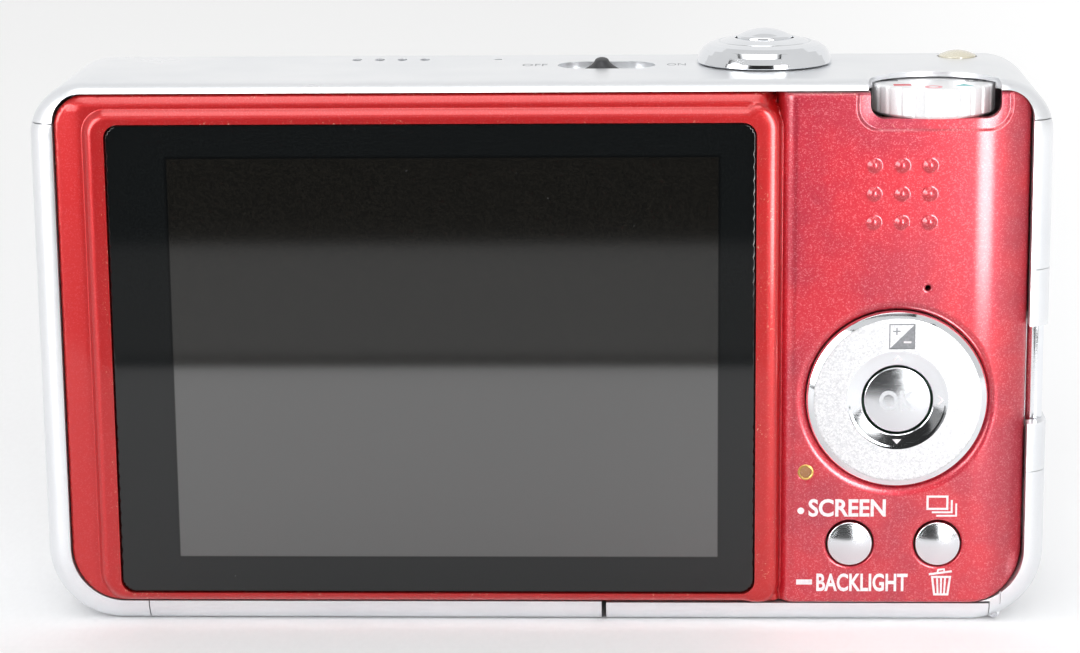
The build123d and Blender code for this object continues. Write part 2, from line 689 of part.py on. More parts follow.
# --- build --------------------------------------------------------------------------------------
def main():
    shell = make_shell()
    save(make_rear_cover(), "rear_cover")
    save(make_front_cover(shell), "front_cover")
    save(make_top_cover(shell), "top_cover")
    save(make_bottom_cover(shell), "bottom_cover")
    save(make_strap_plate(shell), "strap_plate")
    save(rod_z(46.35, 3.3, 0.8, 18.9, 29.6), "strap_bar")
    save(make_battery_door(shell), "battery_door")
    save(rod_y(door_pin_x, door_pin_z, door_pin_radius, 1.6, 20.6), "battery_door_pin")
    save(make_door_latch(), "door_latch")
    save(make_terminal_door(), "terminal_door")
    save_group([make_screw(screw) for screw in screw_places()], "case_screws")

    save(slab(*window_x, *window_z, window_face, window_face + window_thickness, window_corner, window_corner),
         "display_window")
    save(block(-36.4, 18.6, 1.1, 3.9, 5.0, 46.9), "display_module")
    save(make_cursor_ring(), "cursor_ring")
    save(make_gimbal(), "cursor_pivot")
    save(dome_key(cursor_x, cursor_z, centre_button_radius, 0.35, 1.2), "centre_button")
    save(dome_key(*display_key, key_radius, 0.5, 1.0), "display_button")
    save(dome_key(*delete_key, key_radius, 0.5, 1.0), "delete_button")
    save(make_key_board(), "key_board")
    save(rod_y(light_x, light_z, light_radius, 0.06, 2.4), "status_light")

    save(make_shutter_button(), "shutter_button")
    save(make_shutter_spring(), "shutter_spring")
    save(make_zoom_lever(), "zoom_lever")
    save(make_power_switch(), "power_switch")
    save(make_top_button(), "top_button")
    save(make_mode_dial(), "mode_dial")
    save(make_dial_switch(), "dial_switch")
    save(make_top_board(), "top_board")

    save(make_chassis(), "chassis")
    save(make_main_board(), "main_board")
    save(rod_z(-41.6, 12.0, 4.0, 6.0, 34.0), "flash_capacitor")
    save(make_flash_reflector(), "flash_reflector")
    save(rod_x(17.2, 44.8, 0.75, 8.6, 16.4), "flash_tube")
    save(slab(7.46, 17.54, 42.16, 47.24, 20.95, 22.0, 1.05, 1.05), "flash_window")
    save(rod_y(22.5, 44.8, 1.8, 20.6, 22.05), "focus_lamp")
    save(make_speaker(), "speaker")
    save(rod_z(mic_x, mic_d, 2.0, 49.2, 50.8), "microphone")
    save(make_battery_box(), "battery_box")
    save(make_battery(), "battery")
    save(make_battery_catch(), "battery_catch")
    save(make_memory_card(), "memory_card")
    save(make_terminal_socket(), "terminal_socket")
    save(make_tripod_socket(), "tripod_socket")

    save(make_lens_ring(), "lens_ring")
    save(make_lens_base(), "lens_base")
    save(make_cam_ring(), "cam_ring")
    save(make_outer_barrel(), "outer_barrel")
    save(make_inner_barrel(), "inner_barrel")
    save(make_lens(6.6, 15.8, 20.9, 12.0), "front_lens")
    save(make_blade(1), "upper_blade")
    save(make_blade(-1), "lower_blade")
    save(make_image_sensor(), "image_sensor")
    save(make_focus_carriage(), "focus_carriage")
    save(make_lens(4.0, 8.6, 11.8, 9.0), "focus_lens")
    save_group([rod_y(x, z, 0.6, plate_depth + plate_sheet, 15.6) for x, z in rod_places()], "guide_rods")
    save(make_focus_screw(), "focus_screw")
    save(make_focus_motor(), "focus_motor")
    save(make_zoom_motor(), "zoom_motor")
    save(make_motor_pinion(), "motor_pinion")
    save(make_drive_gear(), "drive_gear")


main()
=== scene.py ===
import math

import bmesh
import bpy
import numpy as np
from mathutils import Matrix, Vector, geometry


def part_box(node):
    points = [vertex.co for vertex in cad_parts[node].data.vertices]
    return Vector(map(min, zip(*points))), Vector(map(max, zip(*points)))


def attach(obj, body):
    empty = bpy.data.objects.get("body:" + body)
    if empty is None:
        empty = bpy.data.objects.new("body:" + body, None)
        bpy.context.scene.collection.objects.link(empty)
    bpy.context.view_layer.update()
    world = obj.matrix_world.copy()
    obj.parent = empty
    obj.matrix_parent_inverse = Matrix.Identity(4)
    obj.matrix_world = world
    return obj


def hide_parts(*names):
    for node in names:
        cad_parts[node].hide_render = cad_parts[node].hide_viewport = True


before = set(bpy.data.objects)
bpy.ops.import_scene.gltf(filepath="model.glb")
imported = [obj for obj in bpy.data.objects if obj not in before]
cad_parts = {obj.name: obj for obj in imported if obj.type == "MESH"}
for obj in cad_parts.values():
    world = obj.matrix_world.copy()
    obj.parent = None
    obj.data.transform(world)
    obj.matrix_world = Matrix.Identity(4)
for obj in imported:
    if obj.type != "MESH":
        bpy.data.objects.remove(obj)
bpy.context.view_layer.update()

# The looks of a compact digital camera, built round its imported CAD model.
# Lengths here are in millimetres. X runs to the right on the rear, Z is up, and a depth d is counted
# from the rear face towards the lens, as in the CAD model.

MM = 0.001


# --- places, all from the frame -------------------------------------------------------------------
WINDOW_FACE = -0.1                     # depth of the display window's outer face
rear_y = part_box("display_window")[0].y / MM - WINDOW_FACE


class Span:
    """A CAD node's box in millimetres: x0 to x1, d0 to d1 (depth behind the rear face) and z0 to z1."""

    def __init__(self, node):
        low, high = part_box(node)
        self.x0, self.x1 = low.x / MM, high.x / MM
        self.d0, self.d1 = low.y / MM - rear_y, high.y / MM - rear_y
        self.z0, self.z1 = low.z / MM, high.z / MM
        self.x, self.d, self.z = (self.x0 + self.x1) / 2, (self.d0 + self.d1) / 2, (self.z0 + self.z1) / 2
        self.radius = (self.x1 - self.x0) / 2
        self.sides = (self.x0, self.x1, self.z0, self.z1)


cover = Span("rear_cover")
window = Span("display_window")
cursor = Span("cursor_ring")
centre_key = Span("centre_button")
display_key = Span("display_button")
delete_key = Span("delete_button")
light = Span("status_light")
dial = Span("mode_dial")
shutter = Span("shutter_button")
zoom = Span("zoom_lever")
power = Span("power_switch")
top_cover = Span("top_cover")


def place(x, d, z):
    """A point in the row frame, in metres."""
    return Vector((x * MM, (rear_y + d) * MM, z * MM))


# --- small maths ----------------------------------------------------------------------------------
def smooth_step(t):
    t = np.clip(t, 0, 1)
    return t * t * (3 - 2 * t)


def faded(distance, width):
    """1 at no distance, falling softly to 0 over the width."""
    return 1 - smooth_step(distance / width)


def smooth_min(a, b, width):
    """The lower of two surfaces, with a fillet of about that width where they meet."""
    blend = np.clip(0.5 + 0.5 * (b - a) / width, 0, 1)
    return b * (1 - blend) + a * blend - width * blend * (1 - blend)


def smooth_max0(value, width):
    """Nothing below 0 and the value itself above it, with a soft start."""
    return 0.5 * (value + np.sqrt(value ** 2 + width ** 2))


def quarter_round(t, steepest=0.06):
    """A quarter circle that falls away from 0 at t = 1, then runs on straight below the steepest place."""
    held = np.clip(t, steepest, 1)
    fall = 1 - np.sqrt(np.clip(1 - (1 - held) ** 2, 0, 1))
    slope = (1 - steepest) / math.sqrt(1 - (1 - steepest) ** 2)
    return fall + slope * np.maximum(steepest - t, 0)


def rounded_outline(corners, step):
    """Points along a closed outline of (x, z, radius) corners, counted anticlockwise, with arcs."""
    points = []
    for index, (x, z, radius) in enumerate(corners):
        corner = Vector((x, z))
        if not radius:
            points.append(corner)
            continue
        before = (Vector(corners[index - 1][:2]) - corner).normalized()
        after = (Vector(corners[(index + 1) % len(corners)][:2]) - corner).normalized()
        half = before.angle(after) / 2
        centre = corner + (before + after).normalized() * radius / math.sin(half)
        start = corner + before * radius / math.tan(half) - centre
        sweep = math.pi - 2 * half
        sign = 1 if before.x * after.y - before.y * after.x < 0 else -1
        count = max(3, math.ceil(radius * sweep / step))
        for number in range(count + 1):
            points.append(centre + Matrix.Rotation(sign * sweep * number / count, 2) @ start)
    return fill_runs(points, step)


def fill_runs(points, step):
    """Adds points to the long runs of a closed outline, so that none is much longer than the step."""
    filled_runs = []
    for index, point in enumerate(points):
        following = points[(index + 1) % len(points)]
        count = max(1, round((following - point).length / step))
        filled_runs += [point.lerp(following, number / count) for number in range(count)]
    return filled_runs


class RoundedBox:
    """An upright box (x0, x1, z0, z1) with corner radii: bottom left, bottom right, top right, top left."""

    def __init__(self, sides, radii):
        self.sides = sides
        self.radii = radii if isinstance(radii, tuple) else (radii,) * 4

    def distance(self, x, z):
        """Distance to the outline, negative inside it."""
        x0, x1, z0, z1 = self.sides
        lower_left, lower_right, upper_right, upper_left = self.radii
        px, pz = x - (x0 + x1) / 2, z - (z0 + z1) / 2
        lower = np.where(px < 0, lower_left, lower_right)
        radius = np.where(pz < 0, lower, np.where(px < 0, upper_left, upper_right))
        qx, qz = np.abs(px) - (x1 - x0) / 2 + radius, np.abs(pz) - (z1 - z0) / 2 + radius
        outside = np.hypot(np.maximum(qx, 0), np.maximum(qz, 0))
        return outside + np.minimum(np.maximum(qx, qz), 0) - radius

    def grown(self, by):
        x0, x1, z0, z1 = self.sides
        return RoundedBox((x0 - by, x1 + by, z0 - by, z1 + by), tuple(radius + by for radius in self.radii))

    def outline(self, step):
        x0, x1, z0, z1 = self.sides
        corners = ((x0, z0), (x1, z0), (x1, z1), (x0, z1))
        return rounded_outline([(*corner, radius) for corner, radius in zip(corners, self.radii)], step)


def circle(x, z, radius, count):
    angles = [2 * math.pi * number / count for number in range(count)]
    return [Vector((x + radius * math.cos(angle), z + radius * math.sin(angle))) for angle in angles]


def stepped_circle(x, z, radius, step, fewest):
    return circle(x, z, radius, max(fewest, round(2 * math.pi * radius / step)))


def grid(across, up):
    return [Vector((x, z)) for x in across for z in up]


# --- objects --------------------------------------------------------------------------------------
SHARP_ANGLE = math.radians(38)         # edges that turn further than this stay sharp in the shading
SAMPLE_ROOM = 0.03                     # a sheet's samples stay this far inside its outline
EDGE_SLACK = 0.004                     # and its triangles may lie this far outside
WELD_DISTANCE = 0.002 * MM
FLAT_DISTANCE = 0.001 * MM


def link_object(name, data):
    made = bpy.data.objects.new(name, data)
    bpy.context.scene.collection.objects.link(made)
    return made


def shade(mesh):
    mesh.shade_smooth()
    mesh.set_sharp_from_angle(angle=SHARP_ANGLE)


def add_object(name, verts, faces, looks, body, replaced=(), slot=None):
    """A mesh piece from points in metres, riding on a body. Its looks are names of finishes."""
    mesh = bpy.data.meshes.new(name)
    mesh.from_pydata(verts, [], faces)
    for look in looks:
        mesh.materials.append(finishes[look])
    mesh.validate()
    mesh.update()
    piece = link_object(name, mesh)
    shade(mesh)
    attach(piece, body)
    if replaced:
        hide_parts(*replaced)
    return piece


def round_profile(profile, radius, arc_points):
    """Rounds the corners of an open outline of (a, b) points."""
    rounded = [Vector(profile[0])]
    for index in range(1, len(profile) - 1):
        corner = Vector(profile[index])
        before = Vector(profile[index - 1]) - corner
        after = Vector(profile[index + 1]) - corner
        half = before.angle(after) / 2
        reach = min(radius / math.tan(half), before.length * 0.45, after.length * 0.45)
        start, end = corner + before.normalized() * reach, corner + after.normalized() * reach
        for number in range(arc_points + 1):
            t = number / arc_points
            rounded.append(start * (1 - t) ** 2 + corner * 2 * t * (1 - t) + end * t ** 2)
    return rounded + [Vector(profile[-1])]


def ring_faces(rings, segments):
    """The faces between rings of points, each ring a closed loop."""
    faces = []
    for ring in range(rings - 1):
        low, high = ring * segments, (ring + 1) * segments
        for number in range(segments):
            after = (number + 1) % segments
            faces.append((low + number, low + after, high + after, high + number))
    return faces


def end_caps(rings, segments):
    """One face over the first ring, turned the other way, and one over the last."""
    first = list(reversed(range(segments)))
    return first, [(rings - 1) * segments + number for number in range(segments)]


def turned_piece(name, centre, axis, profile, looks, body, segments, zones=((0, 0),), shape=None, **links):
    """A turned piece about an axis along Y (profile of radius, depth) or Z (profile of radius, height).

    A zone gives the look of a stretch as (first profile index, look's index). A shape changes a point's
    radius and height with the angle. A profile that ends where it starts is a ring, with no caps."""
    verts, ids = [], []
    for ring, (radius, level) in enumerate(profile):
        for number in range(segments):
            angle = 2 * math.pi * number / segments
            r, h = shape(radius, level, angle) if shape else (radius, level)
            a, b = r * math.cos(angle), r * math.sin(angle)
            if axis == "Y":
                verts.append(place(centre[0] + a, h, centre[1] + b))
            else:
                verts.append(place(centre[0] + a, centre[1] + b, h))
        if ring < len(profile) - 1:
            ids += [[look for first, look in zones if ring >= first][-1]] * segments
    faces = ring_faces(len(profile), segments)
    if tuple(profile[0]) != tuple(profile[-1]):
        for ring, cap in zip((0, -1), end_caps(len(profile), segments)):
            if profile[ring][0]:
                faces.append(cap)
                ids.append(ids[ring])
    piece = add_object(name, verts, faces, looks, body, **links)
    piece.data.polygons.foreach_set("material_index", ids)
    weld(piece.data)
    weighted = piece.modifiers.new("flat faces stay flat", "WEIGHTED_NORMAL")
    weighted.keep_sharp = True
    weighted.weight = 100


def weld(mesh):
    """Joins the points on the axis and turns all faces outward."""
    cleaner = bmesh.new()
    cleaner.from_mesh(mesh)
    bmesh.ops.remove_doubles(cleaner, verts=cleaner.verts, dist=WELD_DISTANCE)
    bmesh.ops.dissolve_degenerate(cleaner, edges=cleaner.edges, dist=FLAT_DISTANCE)
    bmesh.ops.recalc_face_normals(cleaner, faces=cleaner.faces)
    cleaner.to_mesh(mesh)
    cleaner.free()
    shade(mesh)


def sheet_piece(name, outline, holes, samples, depth, thickness, looks, body, inside, **links):
    """A sheet that faces the rear: its outline and holes are cut from a surface given by a depth formula.

    The samples are extra points that carry the surface's shape, where inside says that they are in it."""
    points, edges = [], []
    for loop in [outline] + holes:
        first = len(points)
        points += loop
        edges += [(first + number, first + (number + 1) % len(loop)) for number in range(len(loop))]
    points += thin_out(points, [sample for sample in samples if inside(sample.x, sample.y) > SAMPLE_ROOM])
    flat, _, triangles, _, _, _ = geometry.delaunay_2d_cdt(points, edges, [], 1, 1e-6)
    xz = np.array([tuple(point) for point in flat])
    kept = [triangle for triangle in triangles if inside(*xz[list(triangle)].mean(axis=0)) > -EDGE_SLACK]
    used = sorted({index for triangle in kept for index in triangle})
    renumber = {old: new for new, old in enumerate(used)}
    front = [tuple(renumber[index] for index in triangle) for triangle in kept]
    return skin(name, xz[used], front, depth, thickness, looks, body, links)


def rim_edges(faces):
    """The edges that only one face uses."""
    edges = {(a, b): None for face in faces for a, b in zip(face, face[1:] + face[:1])}
    return [(a, b) for a, b in edges if (b, a) not in edges]


def closed_faces(front, count):
    """A sheet's front faces, the same faces turned over on its back, and the walls round its rims."""
    back = [tuple(index + count for index in reversed(face)) for face in front]
    return front + back + [(b, a, a + count, b + count) for a, b in rim_edges(front)]


def skin(name, xz, front, depth, thickness, looks, body, links):
    """Gives flat faces their front, their back and their walls, with exact normals in front."""
    x, z = xz[:, 0], xz[:, 1]
    front_depth = depth(x, z)
    verts = [place(*values) for d in (front_depth, front_depth + thickness) for values in zip(x, d, z)]
    piece = add_object(name, verts, closed_faces(front, len(xz)), looks, body, **links)
    reach = 0.01
    slope_x = (depth(x + reach, z) - depth(x - reach, z)) / (2 * reach)
    slope_z = (depth(x, z + reach) - depth(x, z - reach)) / (2 * reach)
    normals = np.stack([slope_x, -np.ones(len(xz)), slope_z], axis=1)
    normals /= np.linalg.norm(normals, axis=1)[:, None]
    mesh = piece.data
    loop_normals = np.zeros((len(mesh.loops), 3))
    for polygon in mesh.polygons:
        for loop in polygon.loop_indices:
            in_front = polygon.index < len(front)
            loop_normals[loop] = normals[mesh.loops[loop].vertex_index] if in_front else polygon.normal
    mesh.normals_split_custom_set(loop_normals.tolist())
    return piece


def thin_out(fixed, samples, spacing=0.11):
    """Drops the samples that lie closer than the spacing to a point that is already there."""
    cells, kept = {}, []
    for number, point in enumerate(fixed + samples):
        column, row = int(point.x // spacing), int(point.y // spacing)
        if number >= len(fixed):
            near = [(column + right, row + up) for right in (-1, 0, 1) for up in (-1, 0, 1)]
            if any((other - point).length < spacing for cell in near for other in cells.get(cell, ())):
                continue
            kept.append(point)
        cells.setdefault((column, row), []).append(point)
    return kept


# --- materials ------------------------------------------------------------------------------------
def linear(colour):
    """A colour given as it looks on a screen, from 0 to 255, in the linear values that shaders use."""
    shares = [value / 255 for value in colour]
    return [share / 12.92 if share <= 0.04045 else ((share + 0.055) / 1.055) ** 2.4 for share in shares]


class Finish:
    """One material and a few short ways to add nodes to it. Places are the object's own, in millimetres."""

    def __init__(self, name):
        self.material = bpy.data.materials.new(name)
        self.material.use_nodes = True
        self.tree = self.material.node_tree
        self.shader = self.tree.nodes["Principled BSDF"]

    def node(self, kind, inputs=(), **settings):
        made = self.tree.nodes.new(kind)
        for setting, value in settings.items():
            setattr(made, setting, value)
        for socket, value in dict(inputs).items():
            self.put(made.inputs[socket], value)
        return made

    def put(self, socket, value):
        if isinstance(value, bpy.types.NodeSocket):
            self.tree.links.new(value, socket)
        else:
            socket.default_value = value

    def done(self, **values):
        """Sets the shader's inputs and gives the material."""
        for socket, value in values.items():
            self.put(self.shader.inputs[socket.replace("_", " ")], value)
        return self.material

    def position(self):
        """The place on the object, in millimetres."""
        where = self.node("ShaderNodeTexCoord").outputs["Object"]
        inputs = {0: where, "Scale": 1 / MM}
        return self.node("ShaderNodeVectorMath", inputs, operation="SCALE").outputs["Vector"]

    def axes(self):
        return self.node("ShaderNodeSeparateXYZ", {"Vector": self.position()}).outputs

    def noise(self, size, detail=3.0, roughness=0.55, stretch=None):
        where = self.position()
        if stretch:
            where = self.node("ShaderNodeVectorMath", {0: where, 1: stretch}, operation="MULTIPLY").outputs[0]
        inputs = {"Vector": where, "Scale": 1 / size, "Detail": detail, "Roughness": roughness}
        return self.node("ShaderNodeTexNoise", inputs).outputs["Fac"]

    def patches(self, low, high, size, detail=3.0, roughness=0.55):
        """Noise as clear patches: 0 where it is under low, 1 where it is over high."""
        return self.range(self.noise(size, detail, roughness), low, high)

    def cells(self, size, output="Color"):
        inputs = {"Vector": self.position(), "Scale": 1 / size}
        return self.node("ShaderNodeTexVoronoi", inputs).outputs[output]

    def flakes(self, size):
        """Three values that change at random from flake to flake: Red, Green and Blue."""
        return self.node("ShaderNodeSeparateColor", {"Color": self.cells(size)}).outputs

    def range(self, value, low, high, to_low=0.0, to_high=1.0):
        inputs = {"Value": value, "From Min": low, "From Max": high, "To Min": to_low, "To Max": to_high}
        return self.node("ShaderNodeMapRange", inputs).outputs["Result"]

    def maths(self, operation, first, second=0.0):
        return self.node("ShaderNodeMath", {0: first, 1: second}, operation=operation).outputs[0]

    def times(self, first, second):
        return self.maths("MULTIPLY", first, second)

    def mix(self, share, first, second):
        """Two colours, each a screen colour or a socket, mixed by the second one's share."""
        made = self.node("ShaderNodeMix", data_type="RGBA")
        self.put(made.inputs["Factor"], share)
        for socket, value in ((6, first), (7, second)):
            self.put(made.inputs[socket], (*linear(value), 1.0) if isinstance(value, tuple) else value)
        return made.outputs[2]

    def bump(self, height, distance, strength):
        inputs = {"Height": height, "Distance": distance * MM, "Strength": strength}
        return self.node("ShaderNodeBump", inputs).outputs["Normal"]

    def attribute(self, name):
        return self.node("ShaderNodeAttribute", attribute_name=name).outputs["Fac"]


def red_paint():
    """Pearl red lacquer: fine flakes under a clear coat, with pale chips where the edges are worn, and
    painted shade in the dial's bay.
    """
    finish = Finish("pearl red lacquer")
    pad, wear = finish.attribute("pad"), finish.attribute("wear")
    flake = finish.flakes(0.10)

    def by_pad(elsewhere, on_pad):
        return finish.range(pad, 0, 1, elsewhere, on_pad)

    base = finish.mix(pad, (182, 2, 3), (168, 3, 36))
    # painted shade: the dial's bay is painted a darker, more purple red, for the darker surroundings that its
    # band mirrors
    base = finish.mix(finish.attribute("bay"), base, (150, 8, 44))
    mottle = finish.patches(0.32, 0.68, 0.15, 2, 0.7)
    base = finish.mix(finish.times(mottle, by_pad(0.03, 0.20)), base, (206, 76, 104))
    cloud = finish.patches(0.42, 0.60, 8.0)
    base = finish.mix(finish.times(cloud, by_pad(0.0, 0.5)), base, (214, 20, 36))
    sparkle = finish.range(flake["Red"], 0.70, 1.0)
    base = finish.mix(finish.times(sparkle, by_pad(0.06, 0.22)), base, (255, 170, 176))
    rubbed = finish.times(finish.patches(0.40, 0.70, 1.1), wear)
    base = finish.mix(finish.times(rubbed, 0.30), base, (150, 40, 32))
    chips = finish.times(finish.patches(0.60, 0.66, 0.28, 4, 0.75), finish.patches(0.42, 0.62, 2.6, 2))
    chipped = finish.times(chips, wear)
    base = finish.mix(chipped, base, (226, 178, 150))
    grain = finish.times(flake["Green"], by_pad(0.25, 1.0))
    orange_peel = finish.bump(finish.noise(1.4, 2), 0.006, 0.2)
    shine = finish.times(finish.range(chipped, 0, 1, 1.0, 0.1), by_pad(0.50, 0.90))
    return finish.done(Base_Color=base, Metallic=finish.range(chipped, 0, 1, 0.40, 0.0), Roughness=0.38,
                       Normal=finish.bump(grain, 0.008, 0.35), Coat_Normal=orange_peel, Coat_Weight=shine,
                       Coat_Roughness=by_pad(0.08, 0.17), Coat_IOR=1.6)


def silver_paint():
    """Satin silver lacquer with a very fine grain and a few soft smudges."""
    finish = Finish("satin silver lacquer")
    grain = finish.noise(0.09, 2)
    smudge = finish.patches(0.35, 0.7, 14.0)
    base = finish.mix(smudge, (226, 228, 231), (236, 237, 239))
    base = finish.mix(finish.range(grain, 0.35, 0.75, 0, 0.14), base, (198, 201, 206))
    return finish.done(Base_Color=base, Metallic=0.72, Roughness=finish.range(smudge, 0, 1, 0.34, 0.27),
                       Normal=finish.bump(grain, 0.004, 0.35), Coat_Weight=0.25, Coat_Roughness=0.2)


def chrome(name, tint, roughness):
    """Plated trim, with faint fine scratches."""
    finish = Finish(name)
    scratch = finish.noise(0.9, 6, 0.7, (1, 1, 14))
    rough = finish.range(scratch, 0.45, 0.75, roughness, roughness + 0.10)
    base = finish.mix(finish.patches(0.3, 0.7, 5.0), tint, tuple(value - 8 for value in tint))
    return finish.done(Base_Color=base, Metallic=1.0, Roughness=rough,
                       Normal=finish.bump(scratch, 0.002, 0.2))


def sparkle_silver():
    """The cursor disc's face: silver lacquer with coarse, glittering flakes."""
    finish = Finish("sparkling silver face")
    flake, fine = finish.flakes(0.16), finish.flakes(0.07)
    shading = finish.range(flake["Red"], 0.0, 1.0, 0.0, 0.55)
    base = finish.mix(shading, (224, 224, 226), (172, 173, 177))
    base = finish.mix(finish.range(fine["Green"], 0.8, 1.0, 0, 0.6), base, (255, 255, 255))
    return finish.done(Base_Color=base, Metallic=0.55, Roughness=0.36,
                       Normal=finish.bump(flake["Blue"], 0.012, 0.5))


def window_black():
    """The display's cover sheet: black print round the picture area, dust and hairline scratches."""
    finish = Finish("display cover sheet")
    where = finish.axes()

    def within(inner, outer):
        """1 in the picture area and 0 outside it, changing between two distances past its edge."""
        shares = []
        for axis, (low, high) in (("X", PICTURE_X), ("Z", PICTURE_Z)):
            off_middle = finish.maths("ABSOLUTE", finish.maths("SUBTRACT", where[axis], (low + high) / 2))
            half = (high - low) / 2
            shares.append(finish.range(off_middle, half + inner, half + outer, 1, 0))
        return finish.times(*shares)

    picture = within(-0.06, 0.06)
    shadow = finish.maths("SUBTRACT", within(0, 0.35), picture)
    border = finish.mix(finish.patches(0.45, 0.8, 0.16, 2), (15, 17, 18), (30, 33, 33))
    border = finish.mix(shadow, border, (6, 7, 8))
    inside = finish.mix(finish.patches(0.4, 0.8, 0.22, 2), (12, 11, 8), (28, 26, 22))
    base = finish.mix(picture, border, inside)
    specks = finish.range(finish.cells(1.7, "Distance"), 0.0, 0.035, 1, 0)
    lint = finish.patches(0.70, 0.74, 0.35, 5, 0.8)
    dust = finish.times(finish.maths("MAXIMUM", specks, lint), finish.patches(0.55, 0.6, 3.1, 2))
    base = finish.mix(finish.times(dust, 0.8), base, (170, 170, 172))
    grain = finish.noise(0.12, 2)
    return finish.done(Base_Color=base, Roughness=finish.range(grain, 0.4, 0.8, 0.045, 0.09),
                       IOR=finish.range(picture, 0, 1, 1.5, 2.27), Normal=finish.bump(grain, 0.0008, 0.4))


def dial_plating():
    """Satin white-silver plating on the mode dial."""
    finish = Finish("satin dial plating")
    grain = finish.noise(0.10, 2)
    base = finish.mix(finish.range(grain, 0.3, 0.8), (248, 248, 249), (236, 237, 239))
    return finish.done(Base_Color=base, Metallic=0.12, Roughness=0.30, Normal=finish.bump(grain, 0.003, 0.3))


def plastic(name, colour, darker, roughness=0.45, grain_size=0.12, depth=0.006, coat=0.0):
    """Moulded plastic with a fine spark-eroded grain."""
    finish = Finish(name)
    grain = finish.noise(grain_size, 3)
    base = finish.mix(finish.patches(0.3, 0.7, 4.0), colour, darker)
    rough = finish.range(grain, 0.3, 0.8, roughness - 0.05, roughness + 0.08)
    return finish.done(Base_Color=base, Roughness=rough, Coat_Weight=coat,
                       Normal=finish.bump(grain, depth, 0.5))


def metal(name, colour, roughness=0.32):
    """A plain metal part with its machining marks."""
    finish = Finish(name)
    marks = finish.noise(0.3, 4, 0.65)
    base = finish.mix(finish.range(marks, 0.3, 0.7), colour, tuple(round(value * 0.86) for value in colour))
    rough = finish.range(marks, 0.3, 0.8, roughness - 0.05, roughness + 0.1)
    return finish.done(Base_Color=base, Metallic=1.0, Roughness=rough, Normal=finish.bump(marks, 0.003, 0.3))


def glass(name, tint, roughness, coating=None):
    """Clear glass or clear plastic, with a coloured coating on the lens."""
    finish = Finish(name)
    facing = finish.node("ShaderNodeLayerWeight", {"Blend": 0.35}).outputs["Facing"]
    base = finish.mix(finish.range(facing, 0.1, 0.8), tint, coating or tint)
    rough = finish.range(finish.noise(2.5), 0.3, 0.8, roughness, roughness + 0.05)
    return finish.done(Base_Color=base, Transmission_Weight=0.92, IOR=1.5, Roughness=rough)


def circuit_green():
    """A printed board with faint tracks under its green lacquer."""
    finish = Finish("green board lacquer")
    tracks = finish.range(finish.cells(1.1, "Distance"), 0.30, 0.36)
    base = finish.mix(tracks, (22, 92, 50), (34, 122, 66))
    return finish.done(Base_Color=base, Roughness=0.35, Coat_Weight=0.6, Coat_Roughness=0.15,
                       Normal=finish.bump(tracks, 0.01, 0.4))


def white_print():
    """White printed marks, slightly uneven."""
    finish = Finish("white print")
    base = finish.mix(finish.patches(0.35, 0.75, 0.25), (250, 246, 248), (226, 214, 220))
    return finish.done(Base_Color=base, Roughness=0.5)


def ink(name, colour):
    finish = Finish(name)
    lighter = tuple(min(255, value + 22) for value in colour)
    base = finish.mix(finish.patches(0.3, 0.8, 0.2, 2), colour, lighter)
    return finish.done(Base_Color=base, Roughness=0.45)


def paper():
    """The pale floor, with painted light: a little brighter far away, and glowing a little towards the right.
    """
    finish = Finish("pale paper")
    fibre = finish.noise(0.5, 4, 0.6, (1, 0.35, 1))
    away = finish.node("ShaderNodeVectorMath", {0: finish.position()}, operation="LENGTH").outputs["Value"]
    base = finish.mix(finish.range(fibre, 0.3, 0.75), (250, 250, 251), (247, 247, 248))
    # painted light: the floor's colour grows paler with distance from the object
    base = finish.mix(finish.range(away, 90, 330), base, (255, 255, 255))
    # painted light: a faint glow that grows towards the right
    return finish.done(Base_Color=base, Roughness=0.85, Normal=finish.bump(fibre, 0.05, 0.25),
                       Emission_Color=(1, 1, 1, 1),
                       Emission_Strength=finish.range(finish.axes()["X"], 0, 200, 0, 0.24))


PICTURE_MARGINS = dict(left=5.69, right=3.45, bottom=3.56, top=3.18)
PICTURE_X = (window.x0 + PICTURE_MARGINS["left"], window.x1 - PICTURE_MARGINS["right"])
PICTURE_Z = (window.z0 + PICTURE_MARGINS["bottom"], window.z1 - PICTURE_MARGINS["top"])

